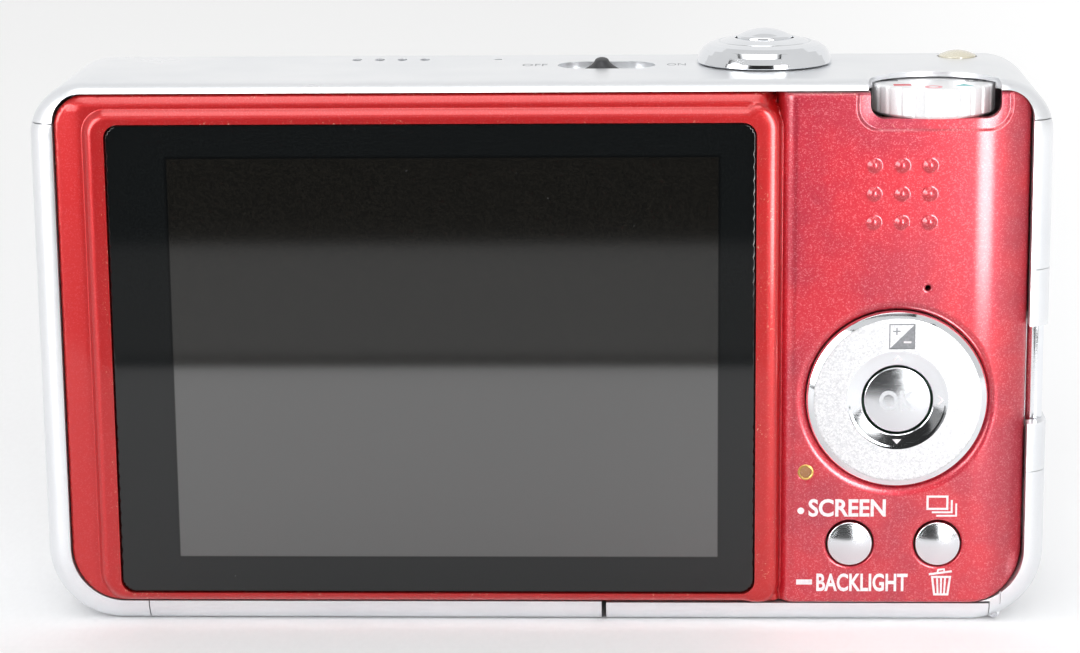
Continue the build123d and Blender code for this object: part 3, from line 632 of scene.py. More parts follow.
# The record's material slots come first, then the looks of the pieces made here.
finishes = {
    "red_shell": red_paint(),
    "silver_shell": silver_paint(),
    "window_black": window_black(),
    "display_face": plastic("display module", (30, 31, 34), (22, 23, 26)),
    "chrome_trim": chrome("bright chrome", (235, 237, 240), 0.05),
    "satin_key": sparkle_silver(),
    "dial_silver": dial_plating(),
    "knob_grey": plastic("dark grey knob", (50, 51, 54), (34, 35, 38), 0.55, 0.10, 0.012),
    "gold_cap": plastic("pearl cream cap", (226, 220, 200), (212, 204, 180), 0.25, 0.2, 0.003, coat=0.6),
    "amber_light": plastic("amber lamp cap", (176, 122, 66), (150, 96, 48), 0.25, 0.2, 0.003, coat=1.0),
    "steel_part": metal("steel", (190, 192, 196)),
    "black_part": plastic("black moulding", (24, 24, 26), (16, 16, 18), 0.5),
    "grey_part": plastic("grey moulding", (120, 122, 126), (104, 106, 110), 0.45),
    "board_green": circuit_green(),
    "brass_part": metal("brass", (214, 178, 104)),
    "lens_glass": glass("coated lens glass", (236, 240, 250), 0.01, (150, 110, 200)),
    "flash_glass": glass("flash window plastic", (244, 246, 248), 0.10),
    "lamp_glass": glass("focus lamp plastic", (250, 180, 120), 0.06),
    "battery_wrap": plastic("battery wrap", (52, 58, 70), (42, 47, 58), 0.4),
    "card_blue": plastic("card shell", (38, 70, 140), (30, 56, 118), 0.4),
    "mirror_metal": chrome("reflector mirror", (240, 242, 244), 0.12),
    "key_plating": chrome("satin key plating", (226, 228, 231), 0.16),
    "white_print": white_print(),
    "grey_ink": ink("grey print", (128, 130, 134)),
    "pink_ink": ink("pink print", (236, 150, 160)),
    "red_ink": ink("red print", (206, 44, 60)),
    "teal_ink": ink("teal print", (96, 186, 186)),
    "raised_letters": ink("raised letters", (206, 208, 212)),
}

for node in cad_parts.values():
    for material_slot in node.material_slots:
        material_slot.material = finishes[material_slot.material.name]


# --- rear cover -----------------------------------------------------------------------------------
COVER_THICKNESS = 1.1
EDGE_ROUND = 0.34                      # rounding of the cover's outer edge
WINDOW_CORNER = 1.3
WINDOW_GAP = 0.06
LIP_RISE = 0.35                        # the lip round the display stands this proud of the rear face
LIP_WIDTH = 1.3                        # the rounded part of the lip, from its flat to its foot
LIP_TURN = 0.25                        # how much further than its crown a shoulder drops at its foot
LIP_CROWNS = (0.7, 3.0)                # radius of the lip's crest on the left and on the right
LOW_FACE = 0.36                        # depth of the cover outside the lip
SLOPE_START = window.x0 - 2.5
LEFT_SLOPE = 0.16                      # how steeply the cover falls away left of that place
TOP_SLOPE = 0.70                       # and above the lip
GROOVE_WALL = 3.0                      # slope of the ground between lip and pad
LIP_FILLET = 0.16                      # hollows at the foot of the lip and of the pad
PAD_FILLET = 0.22
PAD_FLAT = window.x1 + 3.9             # from here the control pad is flat; its left side is a wide rounding
PAD_WIDTH = 1.55
PAD_CROWN = 1.35
ROLL_START = cover.x1 - 5.35           # from here the pad rolls away to the right
ROLL_RADIUS = 8.0
BAY_STEP = 0.30                        # drop of the bay's outer edge round the dial
BAY_EDGE = 0.42                        # width of that edge's rounding
BAY_SLOPE = 0.10
NOTCH_RADIUS = 1.3                     # corners of the cut that the dial stands in
DOME_RADIUS = 0.72
DOME_HEIGHT = 0.33

cover_box = RoundedBox(cover.sides, (5.0, 5.0, 2.0, 3.0))
window_box = RoundedBox(window.sides, WINDOW_CORNER)
window_hole = RoundedBox(window_box.grown(WINDOW_GAP).sides, WINDOW_CORNER)
lip_box = RoundedBox((window.x0 - 2.46, window.x1 + 2.2, cover.z0 - 0.3, window.z1 + 1.74),
                     (3.2, 2.2, 2.4, 2.6))
lip_right, lip_top = lip_box.sides[1], lip_box.sides[3]
low_ground = RoundedBox((window.x0 - 20, lip_right, cover.z0 - 20, lip_top + 0.05), (0.3, 0.3, 2.4, 0.3))
bay_box = RoundedBox((dial.x - 7.35, dial.x + 7.15, cover.z1 - 3.65, cover.z1 + 8), 2.3)
notch_box = RoundedBox((dial.x - 6.0, dial.x + 6.0, cover.z1 - 2.42, cover.z1 + 8), NOTCH_RADIUS)
grip_domes = [(cursor.x - 2.4 + 2.55 * column, cursor.z + 22.1 - 2.65 * row)
              for row in range(3) for column in range(3)]

# round holes with a bevelled edge: place, radius and width of the bevel
wells = [(cursor.x, cursor.z, cursor.radius + 0.07, 0.95),
         (display_key.x, display_key.z, display_key.radius + 0.16, 0.30),
         (delete_key.x, delete_key.z, display_key.radius + 0.16, 0.30),
         (light.x, light.z, light.radius + 0.04, 0.16),
         (cursor.x + 2.7, cursor.z + 10.6, 0.25, 0.22)]


def shoulder(down, crown, width):
    """The drop at a distance past a flat's end: round at first, with a sharper turn at its foot."""
    down = np.maximum(down, 0)
    return down ** 2 / (2 * crown) + LIP_TURN * (down / width) ** 8


def cover_depth(x, z):
    """The rear cover's outer face."""
    steepness = TOP_SLOPE + (GROOVE_WALL - TOP_SLOPE) * smooth_step((x - lip_right + 1.6) / 1.6)
    low = LOW_FACE + LEFT_SLOPE * smooth_max0(SLOPE_START - x, 0.3)
    low = low + steepness * smooth_max0(low_ground.distance(x, z), 0.12)
    crown = LIP_CROWNS[0] + (LIP_CROWNS[1] - LIP_CROWNS[0]) * smooth_step((x - window.x1 + 1) / 2)
    lip = shoulder(lip_box.distance(x, z) + LIP_WIDTH, crown, LIP_WIDTH) - LIP_RISE
    over = np.clip(x - ROLL_START, 0, ROLL_RADIUS * 0.9)
    pad = shoulder(PAD_FLAT - x, PAD_CROWN, PAD_WIDTH) + ROLL_RADIUS - np.sqrt(ROLL_RADIUS ** 2 - over ** 2)
    depth = smooth_min(smooth_min(low, lip, LIP_FILLET), pad, PAD_FILLET)
    # the bay round the dial: a rounded edge, then a band that leans back towards the cut
    into_bay = -bay_box.distance(x, z)
    depth = depth + BAY_STEP * smooth_step(into_bay / BAY_EDGE)
    depth = depth + BAY_SLOPE * smooth_max0(into_bay - BAY_EDGE, 0.2)
    depth = depth + EDGE_ROUND * quarter_round(-cover_box.distance(x, z) / EDGE_ROUND)
    for well_x, well_z, radius, bevel in wells:
        away = np.hypot(x - well_x, z - well_z) - radius
        depth = depth + 0.8 * bevel * quarter_round(away / bevel)
    for dome_x, dome_z in grip_domes:
        inside = np.clip(np.hypot(x - dome_x, z - dome_z) / DOME_RADIUS, 0, 1)
        depth = depth - DOME_HEIGHT * (1 - inside ** 2.2) ** 1.6
    return depth


def in_cover(x, z):
    """How far a place is inside the cover's sheet, clear of all its holes."""
    room = min(-cover_box.distance(x, z), notch_box.distance(x, z), window_hole.distance(x, z))
    for well_x, well_z, radius, _ in wells:
        room = min(room, math.hypot(x - well_x, z - well_z) - radius)
    return room


def cover_samples():
    """Points that carry the cover's shape: rows along each rounded edge, and a grid elsewhere."""
    samples = []
    for share in (0.02, 0.08, 0.16, 0.27, 0.4, 0.55, 0.75, 1.0, 1.4):
        samples += cover_box.grown(-share * EDGE_ROUND).outline(0.5)
    for share in (0.55, 0.68, 0.8, 0.92, 1.05):
        samples += lip_box.grown(-share * LIP_WIDTH).outline(0.3)
    for shift in np.arange(-0.6, 0.62, 0.1):
        samples += lip_box.grown(shift).outline(0.25)
    pad_side = np.arange(PAD_FLAT - PAD_WIDTH - 0.3, PAD_FLAT + 0.2, 0.13)
    samples += grid(pad_side, np.arange(cover.z0, cover.z1, 0.4))
    for inset in (-0.4, -0.15, 0.0, 0.1, 0.2, 0.3, 0.42, 0.56, 0.75, 1.0, 1.3, 1.6):
        samples += bay_box.grown(-inset).outline(0.25)
    for x, z, radius, bevel in wells:
        for share in (0.05, 0.13, 0.22, 0.32, 0.45, 0.62, 0.82, 1.0, 1.25):
            samples += stepped_circle(x, z, radius + share * bevel, 0.3, 20)
    for x, z in grip_domes:
        samples.append(Vector((x, z)))
        for ring in (0.13, 0.26, 0.38, 0.49, 0.6, 0.7, 0.82, 1.0):
            samples += circle(x, z, ring, 28)
    samples += grid(np.arange(ROLL_START - 0.4, cover.x1, 0.35), np.arange(cover.z0, cover.z1, 0.8))
    samples += grid(np.arange(cover.x0 + 0.4, ROLL_START, 0.9), np.arange(cover.z0 + 0.3, cover.z1, 0.9))
    return samples


def make_rear_cover():
    left, right, bottom, top = cover.sides
    cut_left, cut_right, cut_floor, _ = notch_box.sides
    lower_left, lower_right, upper_right, upper_left = cover_box.radii
    outline = rounded_outline([(left, bottom, lower_left), (right, bottom, lower_right),
                               (right, top, upper_right),
                               (cut_right, top, 0), (cut_right, cut_floor, NOTCH_RADIUS),
                               (cut_left, cut_floor, NOTCH_RADIUS), (cut_left, top, 0),
                               (left, top, upper_left)], 0.3)
    holes = [window_hole.outline(0.3)] + [stepped_circle(x, z, radius, 0.35, 24) for x, z, radius, _ in wells]
    piece = sheet_piece("rear_cover_shell", outline, holes, cover_samples(), cover_depth, COVER_THICKNESS,
                        ["red_shell"], "camera_body", in_cover, replaced=["rear_cover"], slot="red_shell")
    paint_masks(piece.data)


def paint_masks(mesh):
    """Where the control pad's coarser pearl is, where the dial's bay gets its painted shade, and where the
    lacquer is worn.
    """
    places = np.array([vertex.co for vertex in mesh.vertices]) / MM
    x, z = places[:, 0], places[:, 2]
    groove = smooth_step((x - window.x1 - 0.6) / 0.4) * smooth_step((window.x1 + 2.6 - x) / 0.6)
    worn = [0.9 * faded(window_hole.distance(x, z), 0.55), faded(-cover_box.distance(x, z), 0.45),
            0.8 * faded(z - cover.z0, 0.9), 0.6 * groove,
            0.7 * faded(np.abs(bay_box.distance(x, z) + 0.5), 0.7)]
    masks = {"pad": smooth_step((x - window.x1 - 2.0) / 1.2),
             "wear": np.max(worn, axis=0),
             # bay: where the lacquer is painted darker, as shade in the dial's bay
             "bay": smooth_step(-bay_box.distance(x, z) / BAY_EDGE)}
    for name, share in masks.items():
        mesh.attributes.new(name, "FLOAT", "POINT").data.foreach_set("value", share.astype(np.float32))


make_rear_cover()


# --- display window -------------------------------------------------------------------------------
def in_window(x, z):
    return -window_box.distance(x, z)


def window_depth(x, z):
    return WINDOW_FACE + 0.14 * quarter_round(in_window(x, z) / 0.16)


def make_window():
    samples = []
    for inset in (0.02, 0.05, 0.09, 0.13, 0.17, 0.3):
        samples += window_box.grown(-inset).outline(0.4)
    samples += grid(np.arange(window.x0 + 1, window.x1, 3), np.arange(window.z0 + 1, window.z1, 3))
    sheet_piece("display_sheet", window_box.outline(0.3), [], samples, window_depth, 0.8, ["window_black"],
                "camera_body", in_window, replaced=["display_window"], slot="window_black")


make_window()


# --- keys and cursor disc -------------------------------------------------------------------------
KEY_RISE = 0.5
CENTRE_RISE = 0.30
KEY_FOOT = 1.2


def dome_depth(away, radius, rise, face):
    """Depth of a crowned face at a distance from its middle."""
    crown = (radius ** 2 + rise ** 2) / (2 * rise)
    return face + crown - np.sqrt(crown ** 2 - np.minimum(away, radius) ** 2)


def dome_profile(radius, rise, face, foot, points=14, edge=0.14):
    """A crowned key in profile: (radius, depth) from the middle of its face to its foot."""
    profile = []
    for number in range(points + 1):
        r = (radius - edge) * number / points
        profile.append((r, float(dome_depth(r, radius, rise, face))))
    rim = profile[-1][1]
    for number in range(1, 5):
        angle = math.pi / 2 * number / 4
        profile.append((radius - edge + edge * math.sin(angle), rim + edge * (1 - math.cos(angle))))
    return profile + [(radius, foot), (0.001, foot)]


def make_keys():
    for name, key, centre, rise, segments in (("display_button", display_key, display_key, KEY_RISE, 96),
                                              ("delete_button", delete_key, delete_key, KEY_RISE, 96),
                                              ("centre_button", centre_key, cursor, CENTRE_RISE, 128)):
        profile = dome_profile(key.radius, rise, key.d0, KEY_FOOT)
        turned_piece(name + "_cap", (centre.x, centre.z), "Y", profile, ["key_plating"], name, segments,
                     replaced=[name], slot="chrome_trim")


disc_face = [(3.42, cursor.d0 + 0.16), (4.40, cursor.d0 + 0.07), (4.55, cursor.d0 + 0.02), (4.72, cursor.d0),
             (7.62, cursor.d0 + 0.005), (7.80, cursor.d0 + 0.06), (8.30, cursor.d0 + 0.36),
             (cursor.radius, cursor.d0 + 0.62)]


def disc_depth(x, z):
    """The cursor disc's outer face."""
    away = np.hypot(x - cursor.x, z - cursor.z)
    return np.interp(away, [radius for radius, _ in disc_face], [depth for _, depth in disc_face])


def make_cursor_disc():
    """The disc has a sparkling face between a polished inner ring and a polished edge."""
    bore, foot = disc_face[0][0] - 0.1, 1.1
    profile = [(bore, foot), (bore, disc_face[0][1] + 0.08), *disc_face, (cursor.radius, foot), (bore, foot)]
    rounded = round_profile(profile, 0.07, 3)
    zones = [(0, 0)]
    for edge, look in ((4.66, 1), (7.66, 0)):
        zones.append((next(number for number, (radius, _) in enumerate(rounded) if radius > edge), look))
    turned_piece("cursor_disc", (cursor.x, cursor.z), "Y", rounded, ["chrome_trim", "satin_key"],
                 "cursor_ring", 200, zones=zones, replaced=["cursor_ring"], slot="satin_key")


make_keys()
make_cursor_disc()


# --- top controls ---------------------------------------------------------------------------------
DIAL_GROOVES = 26
GROOVE_WIDTH = 0.15
GROOVE_DEPTH = 0.17
GROOVE_POINTS = 18                     # points round the dial for each groove
ZOOM_RADIUS = 6.45
SHUTTER_RADIUS = 2.6
TOP_BUTTON_RADIUS = 1.79


def make_dial():
    top, bottom, outer = dial.z1, dial.z1 - 2.8, dial.radius
    profile = [(0.001, dial.z0), (1.2, dial.z0), (1.2, bottom), (outer - 0.3, bottom), (outer, bottom + 0.25),
               (outer, top - 0.14), (outer - 0.14, top), (outer - 0.5, top), (outer - 0.6, top - 0.04),
               (0.001, top - 0.04)]

    def grooved(radius, height, angle):
        """Narrow grooves round the side, between broad lands."""
        if radius < outer - 0.35 or height < bottom + 0.1:
            return radius, height
        step = 2 * math.pi / DIAL_GROOVES
        aside = (angle / step - round(angle / step)) * step * outer
        return radius - GROOVE_DEPTH * math.exp(-(aside / GROOVE_WIDTH) ** 2), height

    turned_piece("mode_dial_cap", (dial.x, dial.d), "Z", round_profile(profile, 0.09, 3), ["dial_silver"],
                 "mode_dial", DIAL_GROOVES * GROOVE_POINTS, shape=grooved, replaced=["mode_dial"],
                 slot="dial_silver")


def make_zoom_ring():
    """A polished collar with a sloping side and a dished top, and a small tab in front."""
    foot, top = zoom.z0 + 1.8, zoom.z1 - 0.2
    profile = [(2.8, foot - 0.7), (4.3, foot - 0.7), (4.3, foot), (6.2, foot - 0.03),
               (ZOOM_RADIUS, foot + 0.06), (ZOOM_RADIUS - 0.10, foot + 0.45), (6.12, foot + 1.0),
               (5.82, foot + 1.42), (5.3, foot + 1.76), (4.75, top - 0.06), (4.44, top), (4.37, top - 0.12),
               (4.27, top - 0.12), (4.2, top + 0.02), (3.6, top + 0.22), (3.1, top + 0.34),
               (2.8, top + 0.36), (2.8, foot - 0.7)]

    def tabbed(radius, height, angle):
        if radius < 5.0 or height > top - 0.1:
            return radius, height
        ahead = math.cos(angle - math.pi / 2)
        return radius + 1.15 * float(smooth_step((ahead - 0.955) / 0.045)), height

    turned_piece("zoom_ring", (shutter.x, shutter.d), "Z", round_profile(profile, 0.10, 4), ["chrome_trim"],
                 "zoom_lever", 240, shape=tabbed, replaced=["zoom_lever"], slot="chrome_trim")


def crowned_cap(name, node, radius, rise, edge, foot, look, spring_room=()):
    """A round cap on top with a crowned face and a rolled edge, hollow below where a spring needs room."""
    span = Span(node)
    below_top = dome_profile(radius, rise, 0, span.z1 - foot, edge=edge)
    profile = [(r, span.z1 - drop) for r, drop in below_top]
    if spring_room:
        inner, outer, height = spring_room
        hollow = [(outer, foot), (outer, foot + height), (inner, foot + height), (inner, foot)]
        profile = profile[:-1] + hollow + profile[-1:]
    turned_piece(name, (span.x, span.d), "Z", profile, [look], node, 128, replaced=[node], slot=look)


def make_power_knob():
    """A bell-shaped thumb knob on its oval foot, in the dish of the power slide."""
    floor_z, top_z = power.z1 - 1.22, power.z1
    rows, segments, rounding_from = 22, 72, 0.8
    verts = []
    for row in range(rows):
        t = row / (rows - 1)
        flare = (1 - t) ** 2.1
        half_x, half_d = 0.62 + 1.33 * flare, 1.30 + 0.75 * flare
        if t > rounding_from:
            shrink = math.sqrt(max(1 - ((t - rounding_from) / (1 - rounding_from)) ** 2, 0.0))
            half_x *= max(shrink, 0.02)
            half_d *= 0.25 + 0.75 * shrink if shrink > 0.02 else 0.02
        height = floor_z + (top_z - floor_z) * t
        verts += [place(power.x + half_x * point.x, power.d + half_d * point.y, height)
                  for point in circle(0, 0, 1, segments)]
    faces = ring_faces(rows, segments) + list(end_caps(rows, segments))
    piece = add_object("power_knob", verts, faces, ["knob_grey"], "power_switch",
                       replaced=["power_switch"], slot="knob_grey")
    weld(piece.data)


make_dial()
make_zoom_ring()
crowned_cap("shutter_cap", "shutter_button", SHUTTER_RADIUS, 0.75, 0.22, top_cover.z1 + 0.7, "chrome_trim",
            spring_room=(1.45, 2.05, 1.2))
crowned_cap("top_cap", "top_button", TOP_BUTTON_RADIUS, 0.5, 0.16, top_cover.z1 - 1.5, "gold_cap")
make_power_knob()


# --- printed marks --------------------------------------------------------------------------------
# A flat mark is a list of (x, z) points and a list of faces.
PRINT_RISE = 0.012


def facing_up(points, faces):
    """The points and faces of a flat mark, with every face counted anticlockwise."""
    turned = []
    for face in faces:
        a, b, c = (points[index] for index in face[:3])
        turned.append(tuple(face) if (b - a).cross(c - a) > 0 else tuple(reversed(face)))
    return points, turned


def stroke(points, width, closed=False):
    """A line of even width through (x, z) points."""
    points = [Vector(point) for point in points]
    count = len(points)
    pairs = []
    for index, point in enumerate(points):
        directions = []
        if index or closed:
            directions.append((point - points[index - 1]).normalized())
        if index < count - 1 or closed:
            directions.append((points[(index + 1) % count] - point).normalized())
        asides = [Vector((-direction.y, direction.x)) for direction in directions]
        aside = sum(asides, Vector((0, 0))).normalized()
        reach = width / 2 / max(aside.dot(asides[0]), 0.5)
        pairs += [point + aside * reach, point - aside * reach]
    faces = []
    for index in range(count if closed else count - 1):
        a, b = 2 * index, 2 * ((index + 1) % count)
        faces.append((a + 1, b + 1, b, a))
    return pairs, faces


def filled(points):
    """A filled shape from its outline."""
    points = [Vector(point) for point in points]
    return facing_up(points, geometry.tessellate_polygon([[point.to_3d() for point in points]]))


def box_mark(x0, x1, z0, z1, width):
    return stroke([(x0, z0), (x1, z0), (x1, z1), (x0, z1)], width, closed=True)


def bar_mark(x0, x1, z0, z1, steps=6):
    """A filled bar, cut across so that it can follow a curved surface."""
    points = []
    for step in range(steps + 1):
        x = x0 + (x1 - x0) * step / steps
        points += [Vector((x, z0)), Vector((x, z1))]
    return points, [(2 * step, 2 * step + 2, 2 * step + 3, 2 * step + 1) for step in range(steps)]


def lettering(words, x0, x1, z0, z1, weight):
    """Plain generic words in the built-in typeface, drawn to fill a box."""
    curve = bpy.data.curves.new("letters", "FONT")
    curve.body = words
    curve.offset = weight
    curve.resolution_u = 4
    letters = bpy.data.objects.new("letters", curve)
    mesh = bpy.data.meshes.new_from_object(letters)
    flat = np.array([vertex.co.to_2d() for vertex in mesh.vertices])
    low, high = flat.min(axis=0), flat.max(axis=0)
    points = [Vector((x0 + (x1 - x0) * a, z0 + (z1 - z0) * b)) for a, b in (flat - low) / (high - low)]
    faces = [tuple(polygon.vertices) for polygon in mesh.polygons]
    bpy.data.objects.remove(letters)
    bpy.data.meshes.remove(mesh)
    bpy.data.curves.remove(curve)
    return facing_up(points, faces)


def gather(marks):
    """Several flat marks as one."""
    points, faces = [], []
    for more_points, more_faces in marks:
        first = len(points)
        points += more_points
        faces += [tuple(index + first for index in face) for face in more_faces]
    return points, faces


def rear_print(name, marks, surface, look, body, proud=PRINT_RISE):
    """Print on a surface that faces the rear, given by its depth formula."""
    points, faces = gather(marks)
    xz = np.array([tuple(point) for point in points])
    skin(name, xz, faces, lambda x, z: surface(x, z) - proud, 0.03, [look], body, {})


def top_print(name, marks, level, look, body, proud=PRINT_RISE):
    """Print on a flat top face; the marks' second number is a depth that grows away from the rear."""
    points, faces = gather(marks)
    verts = [place(point.x, point.y, height) for height in (level + proud, level - 0.02) for point in points]
    add_object(name, verts, closed_faces(faces, len(points)), [look], body)


def frames_icon(x, z):
    """A stack of frames, from the top left corner of the front one."""
    width, height = 1.85, 1.2
    marks = [box_mark(x, x + width, z - height, z, 0.2)]
    for shift in (0.42, 0.84):
        right, bottom, top = x + width + shift, z - height - shift * 0.8, z - shift * 0.8
        marks.append(stroke([(x + shift, bottom), (right, bottom), (right, top)], 0.17))
    return marks


def bin_icon(x, z):
    """A waste bin with a tilted lid, from the middle of its foot."""
    outlines = [([(-0.62, 0), (0.62, 0), (0.84, 1.72), (-0.84, 1.72)], 0.2, True)]
    outlines += [([(0.30 * side, 0.1), (0.38 * side, 1.6)], 0.18, False) for side in (-1, 0, 1)]
    outlines += [([(-1.15, 1.98), (1.0, 2.28)], 0.2, False),
                 ([(-0.35, 2.10), (-0.3, 2.42), (0.25, 2.5), (0.3, 2.2)], 0.16, False)]
    return [stroke([(x + a, z + b) for a, b in points], width, closed) for points, width, closed in outlines]


def make_rear_labels():
    key_x, key_z = display_key.x, display_key.z
    marks = [lettering("SCREEN", key_x - 3.9, key_x + 3.35, key_z + 2.62, key_z + 4.35, 0.026),
             lettering("BACKLIGHT", key_x - 3.1, key_x + 5.5, key_z - 4.72, key_z - 2.95, 0.026),
             filled(circle(key_x - 4.62, key_z + 3.2, 0.32, 20)),
             bar_mark(key_x - 5.0, key_x - 3.5, key_z - 4.05, key_z - 3.55)]
    marks += frames_icon(delete_key.x - 1.0, delete_key.z + 4.6)
    marks += bin_icon(delete_key.x + 0.4, delete_key.z - 5.0)
    rear_print("rear_labels", marks, cover_depth, "white_print", "camera_body")


def make_disc_marks():
    """An exposure sign at the top of the disc, and three arrows round the centre button."""
    x, z, half = cursor.x + 0.35, cursor.z + 6.1, 1.15
    marks = [box_mark(x - half, x + half, z - half, z + half, 0.12),
             filled([(x - half, z - half), (x + half, z - half), (x + half, z + half)]),
             stroke([(x - 0.85, z + 0.5), (x - 0.15, z + 0.5)], 0.13),
             stroke([(x - 0.5, z + 0.15), (x - 0.5, z + 0.85)], 0.13)]
    rear_print("disc_exposure_icon", marks, disc_depth, "grey_ink", "cursor_ring")
    rear_print("disc_exposure_minus", [bar_mark(x + 0.15, x + 0.85, z - 0.62, z - 0.45)], disc_depth,
               "white_print", "cursor_ring", proud=2 * PRINT_RISE)
    arrows = []
    reach, tip, back, spread = 3.95, 0.28, 0.18, 0.42
    for quarter in (0, 1, 3):
        angle = quarter * math.pi / 2
        ahead = Vector((math.cos(angle), math.sin(angle)))
        aside = Vector((-ahead.y, ahead.x)) * spread
        middle = Vector((cursor.x, cursor.z)) + ahead * reach
        corners = [middle - ahead * back - aside, middle + ahead * tip, middle - ahead * back + aside]
        arrows.append(filled(corners) if quarter == 3 else stroke(corners, 0.13))
    rear_print("disc_arrows", arrows, disc_depth, "white_print", "cursor_ring")


def make_button_word():
    def crown_depth(x, z):
        away = np.hypot(x - cursor.x, z - cursor.z)
        return dome_depth(away, centre_key.radius, CENTRE_RISE, centre_key.d0)

    half = 0.55 * centre_key.radius
    marks = [lettering("OK", cursor.x - half, cursor.x + half, cursor.z - 0.95, cursor.z + 0.95, 0.03)]
    rear_print("centre_button_word", marks, crown_depth, "raised_letters", "centre_button", proud=0.05)


def dial_icon(kind, x, d, size=0.8):
    low, high = d - size * 0.6, d + size * 0.6
    if kind == "ring":
        return [stroke(circle(x, d, size * 0.8, 28), 0.34, closed=True)]
    if kind == "triangle":
        return [filled([(x - size, low), (x + size, low), (x, d + size)])]
    if kind == "bar":
        return [bar_mark(x - size, x + size, low, high)]
    return [box_mark(x - size, x + size, d - 0.5, d + 0.5, 0.3), filled(circle(x, d, 0.25, 20))]


def make_dial_icons():
    """Small generic symbols round the top of the mode dial."""
    icons = (("ring", "pink_ink"), ("triangle", "teal_ink"), ("frame", "grey_ink"), ("bar", "pink_ink"),
             ("ring", "grey_ink"), ("triangle", "teal_ink"), ("bar", "grey_ink"), ("bar", "red_ink"))
    reach = 4.0
    for number, (kind, look) in enumerate(icons):
        angle = -math.pi / 2 + math.radians(-3 + 45 * number)
        marks = dial_icon(kind, dial.x + reach * math.cos(angle), dial.d + reach * math.sin(angle))
        top_print(f"dial_icon_{number + 1}", marks, dial.z1 - 0.04, look, "mode_dial")


def make_power_words():
    """The two ends of the power slide's travel, named on the top cover."""
    for name, word, left, right in (("power_off_word", "OFF", -7.6, -5.2), ("power_on_word", "ON", 6.2, 8.0)):
        marks = [lettering(word, power.x + left, power.x + right, power.d - 0.5, power.d + 0.9, 0.0)]
        top_print(name, marks, top_cover.z1, "grey_ink", "camera_body", proud=0.008)


def make_light_rim():
    """A thin brass-coloured ring round the status light."""
    inner, outer = light.radius + 0.01, light.radius + 0.24
    profile = [(inner, 0.3), (inner, -0.02), (inner + 0.07, -0.07), (outer - 0.06, -0.05), (outer, 0.02),
               (outer, 0.3), (inner, 0.3)]
    turned_piece("status_light_rim", (light.x, light.z), "Y", profile, ["brass_part"], "camera_body", 64)


make_rear_labels()
make_disc_marks()
make_button_word()
make_dial_icons()
make_power_words()
make_light_rim()


# --- stage ----------------------------------------------------------------------------------------
def stage_plane(name, corners, material, only_mirrored=True):
    """A flat card or floor; one that is only mirrored shows in reflections and lights nothing."""
    mesh = bpy.data.meshes.new(name)
    mesh.from_pydata([Vector(corner) * MM for corner in corners], [], [(0, 1, 2, 3)])
    across = mesh.uv_layers.new(name="card")
    for loop, corner in enumerate(((0, 0), (1, 0), (1, 1), (0, 1))):
        across.data[loop].uv = corner
    mesh.materials.append(material)
    plane = link_object(name, mesh)
    if only_mirrored:
        plane.visible_camera = False
        plane.visible_diffuse = False
        plane.visible_shadow = False
        plane.visible_transmission = False


def glow(name, strength, soft_across=0.0, soft_up=0.0):
    """A card that gives its own light, fading towards its sides and towards its lower and upper edges."""
    finish = Finish(name)
    on_card = finish.node("ShaderNodeUVMap").outputs["UV"]
    where = finish.node("ShaderNodeSeparateXYZ", {"Vector": on_card}).outputs
    level = strength
    for axis, softness in (("X", soft_across), ("Y", soft_up)):
        if softness:
            off_middle = finish.maths("ABSOLUTE", finish.maths("SUBTRACT", where[axis], 0.5))
            from_edge = {"Value": finish.maths("SUBTRACT", 0.5, off_middle), "From Max": softness}
            fading = finish.node("ShaderNodeMapRange", from_edge, interpolation_type="SMOOTHSTEP")
            level = finish.times(level, fading.outputs["Result"])
    shine = finish.node("ShaderNodeEmission", {"Color": (1, 1, 1, 1), "Strength": level})
    finish.tree.nodes.remove(finish.shader)
    finish.tree.links.new(shine.outputs[0], finish.tree.nodes["Material Output"].inputs["Surface"])
    return finish.material


def flat_card(x0, x1, y0, y1, z):
    return [(x0, y0, z), (x1, y0, z), (x1, y1, z), (x0, y1, z)]


def upright_card(azimuths, distance, height, about):
    """A card that stands between two azimuths, in degrees to the right of straight back."""
    turns = [math.radians(angle) for angle in azimuths]
    (x0, y0), (x1, y1) = [(about[0] + distance * math.sin(turn), about[1] - distance * math.cos(turn))
                          for turn in turns]
    return [(x0, y0, 0), (x1, y1, 0), (x1, y1, height), (x0, y0, height)]


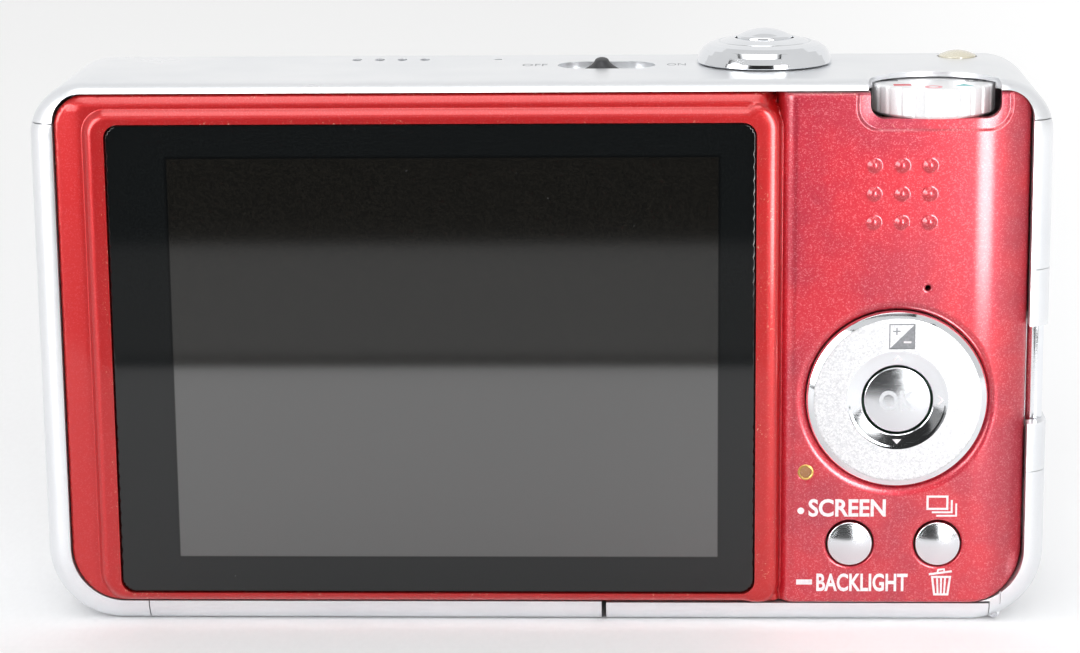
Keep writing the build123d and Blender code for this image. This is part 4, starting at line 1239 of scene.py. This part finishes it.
def make_stage():
    far = 3000
    stage_plane("floor", flat_card(-far, far, -far, far, 0), paper(), only_mirrored=False)
    # what the rear face mirrors: a grey band on the table, then the dark room behind the camera
    near, middle = rear_y - 104, rear_y - 190
    stage_plane("grey_band", [(-190, middle, 0.3), (46, middle, 0.3), (40, near, 0.3), (-190, near, 0.3)],
                glow("grey band", 0.30, 0.06, 0.12))
    stage_plane("dark_room", [(-260, middle, 0), (56, middle, 0), (330, middle - 160, 260),
                              (-330, middle - 160, 260)], glow("dark room", 0.03))
    stage_plane("right_softbox", upright_card((5, 37), 118, 130, (41, -12)),
                glow("right softbox", 17.0, 0.42, 0.12))
    stage_plane("left_softbox", upright_card((-70, -15), 260, 240, (-42, -12)),
                glow("left softbox", 9.0, 0.45, 0.1))
    stage_plane("overhead_card", flat_card(-290, 210, -400, 75, 500), glow("overhead card", 4.0, 0.3, 0.3))
    stage_plane("back_card", [(-900, 620, 0), (900, 620, 0), (900, 620, 800), (-900, 620, 800)],
                glow("back card", 0.95))


def add_area(name, where, towards, width, height, watts):
    """A soft light for the matt surfaces; the cards stand for it in reflections."""
    data = bpy.data.lights.new(name, "AREA")
    data.shape = "RECTANGLE"
    data.size, data.size_y = width * MM, height * MM
    data.energy = watts
    lamp = link_object(name, data)
    lamp.visible_glossy = False
    lamp.location = Vector(where) * MM
    lamp.rotation_euler = (Vector(towards) - Vector(where)).to_track_quat("-Z", "Y").to_euler()


def make_lights():
    world = bpy.data.worlds.new("studio")
    bpy.context.scene.world = world
    world.use_nodes = True
    background = world.node_tree.nodes["Background"].inputs
    background["Color"].default_value = (1.0, 1.0, 1.0, 1)
    background["Strength"].default_value = 0.78
    add_area("overhead", (-40, -100, 620), (0, 0, 20), 500, 400, 0.3)
    add_area("front", (0, -600, 380), (0, 0, 20), 700, 400, 1.5)


def make_camera():
    """The camera stands low behind the object, a little to its right, with a long lens."""
    azimuth, elevation, roll = math.radians(2.292), math.radians(12.769), math.radians(-0.583)
    distance = 288.2
    target = Vector((0.034, rear_y, 29.124))
    aside = Vector((math.sin(azimuth) * math.cos(elevation), -math.cos(azimuth) * math.cos(elevation),
                    math.sin(elevation)))
    data = bpy.data.cameras.new("camera")
    data.sensor_width = 36
    data.lens = 103.09
    data.clip_start = 0.01
    camera = link_object("camera", data)
    turn = (-aside).to_track_quat("-Z", "Y").to_matrix() @ Matrix.Rotation(roll, 3, "Z")
    camera.matrix_world = Matrix.Translation((target + aside * distance) * MM) @ turn.to_4x4()
    bpy.context.scene.camera = camera


make_stage()
make_lights()
make_camera()
bpy.context.scene.view_settings.view_transform = "Standard"

bpy.context.view_layer.update()
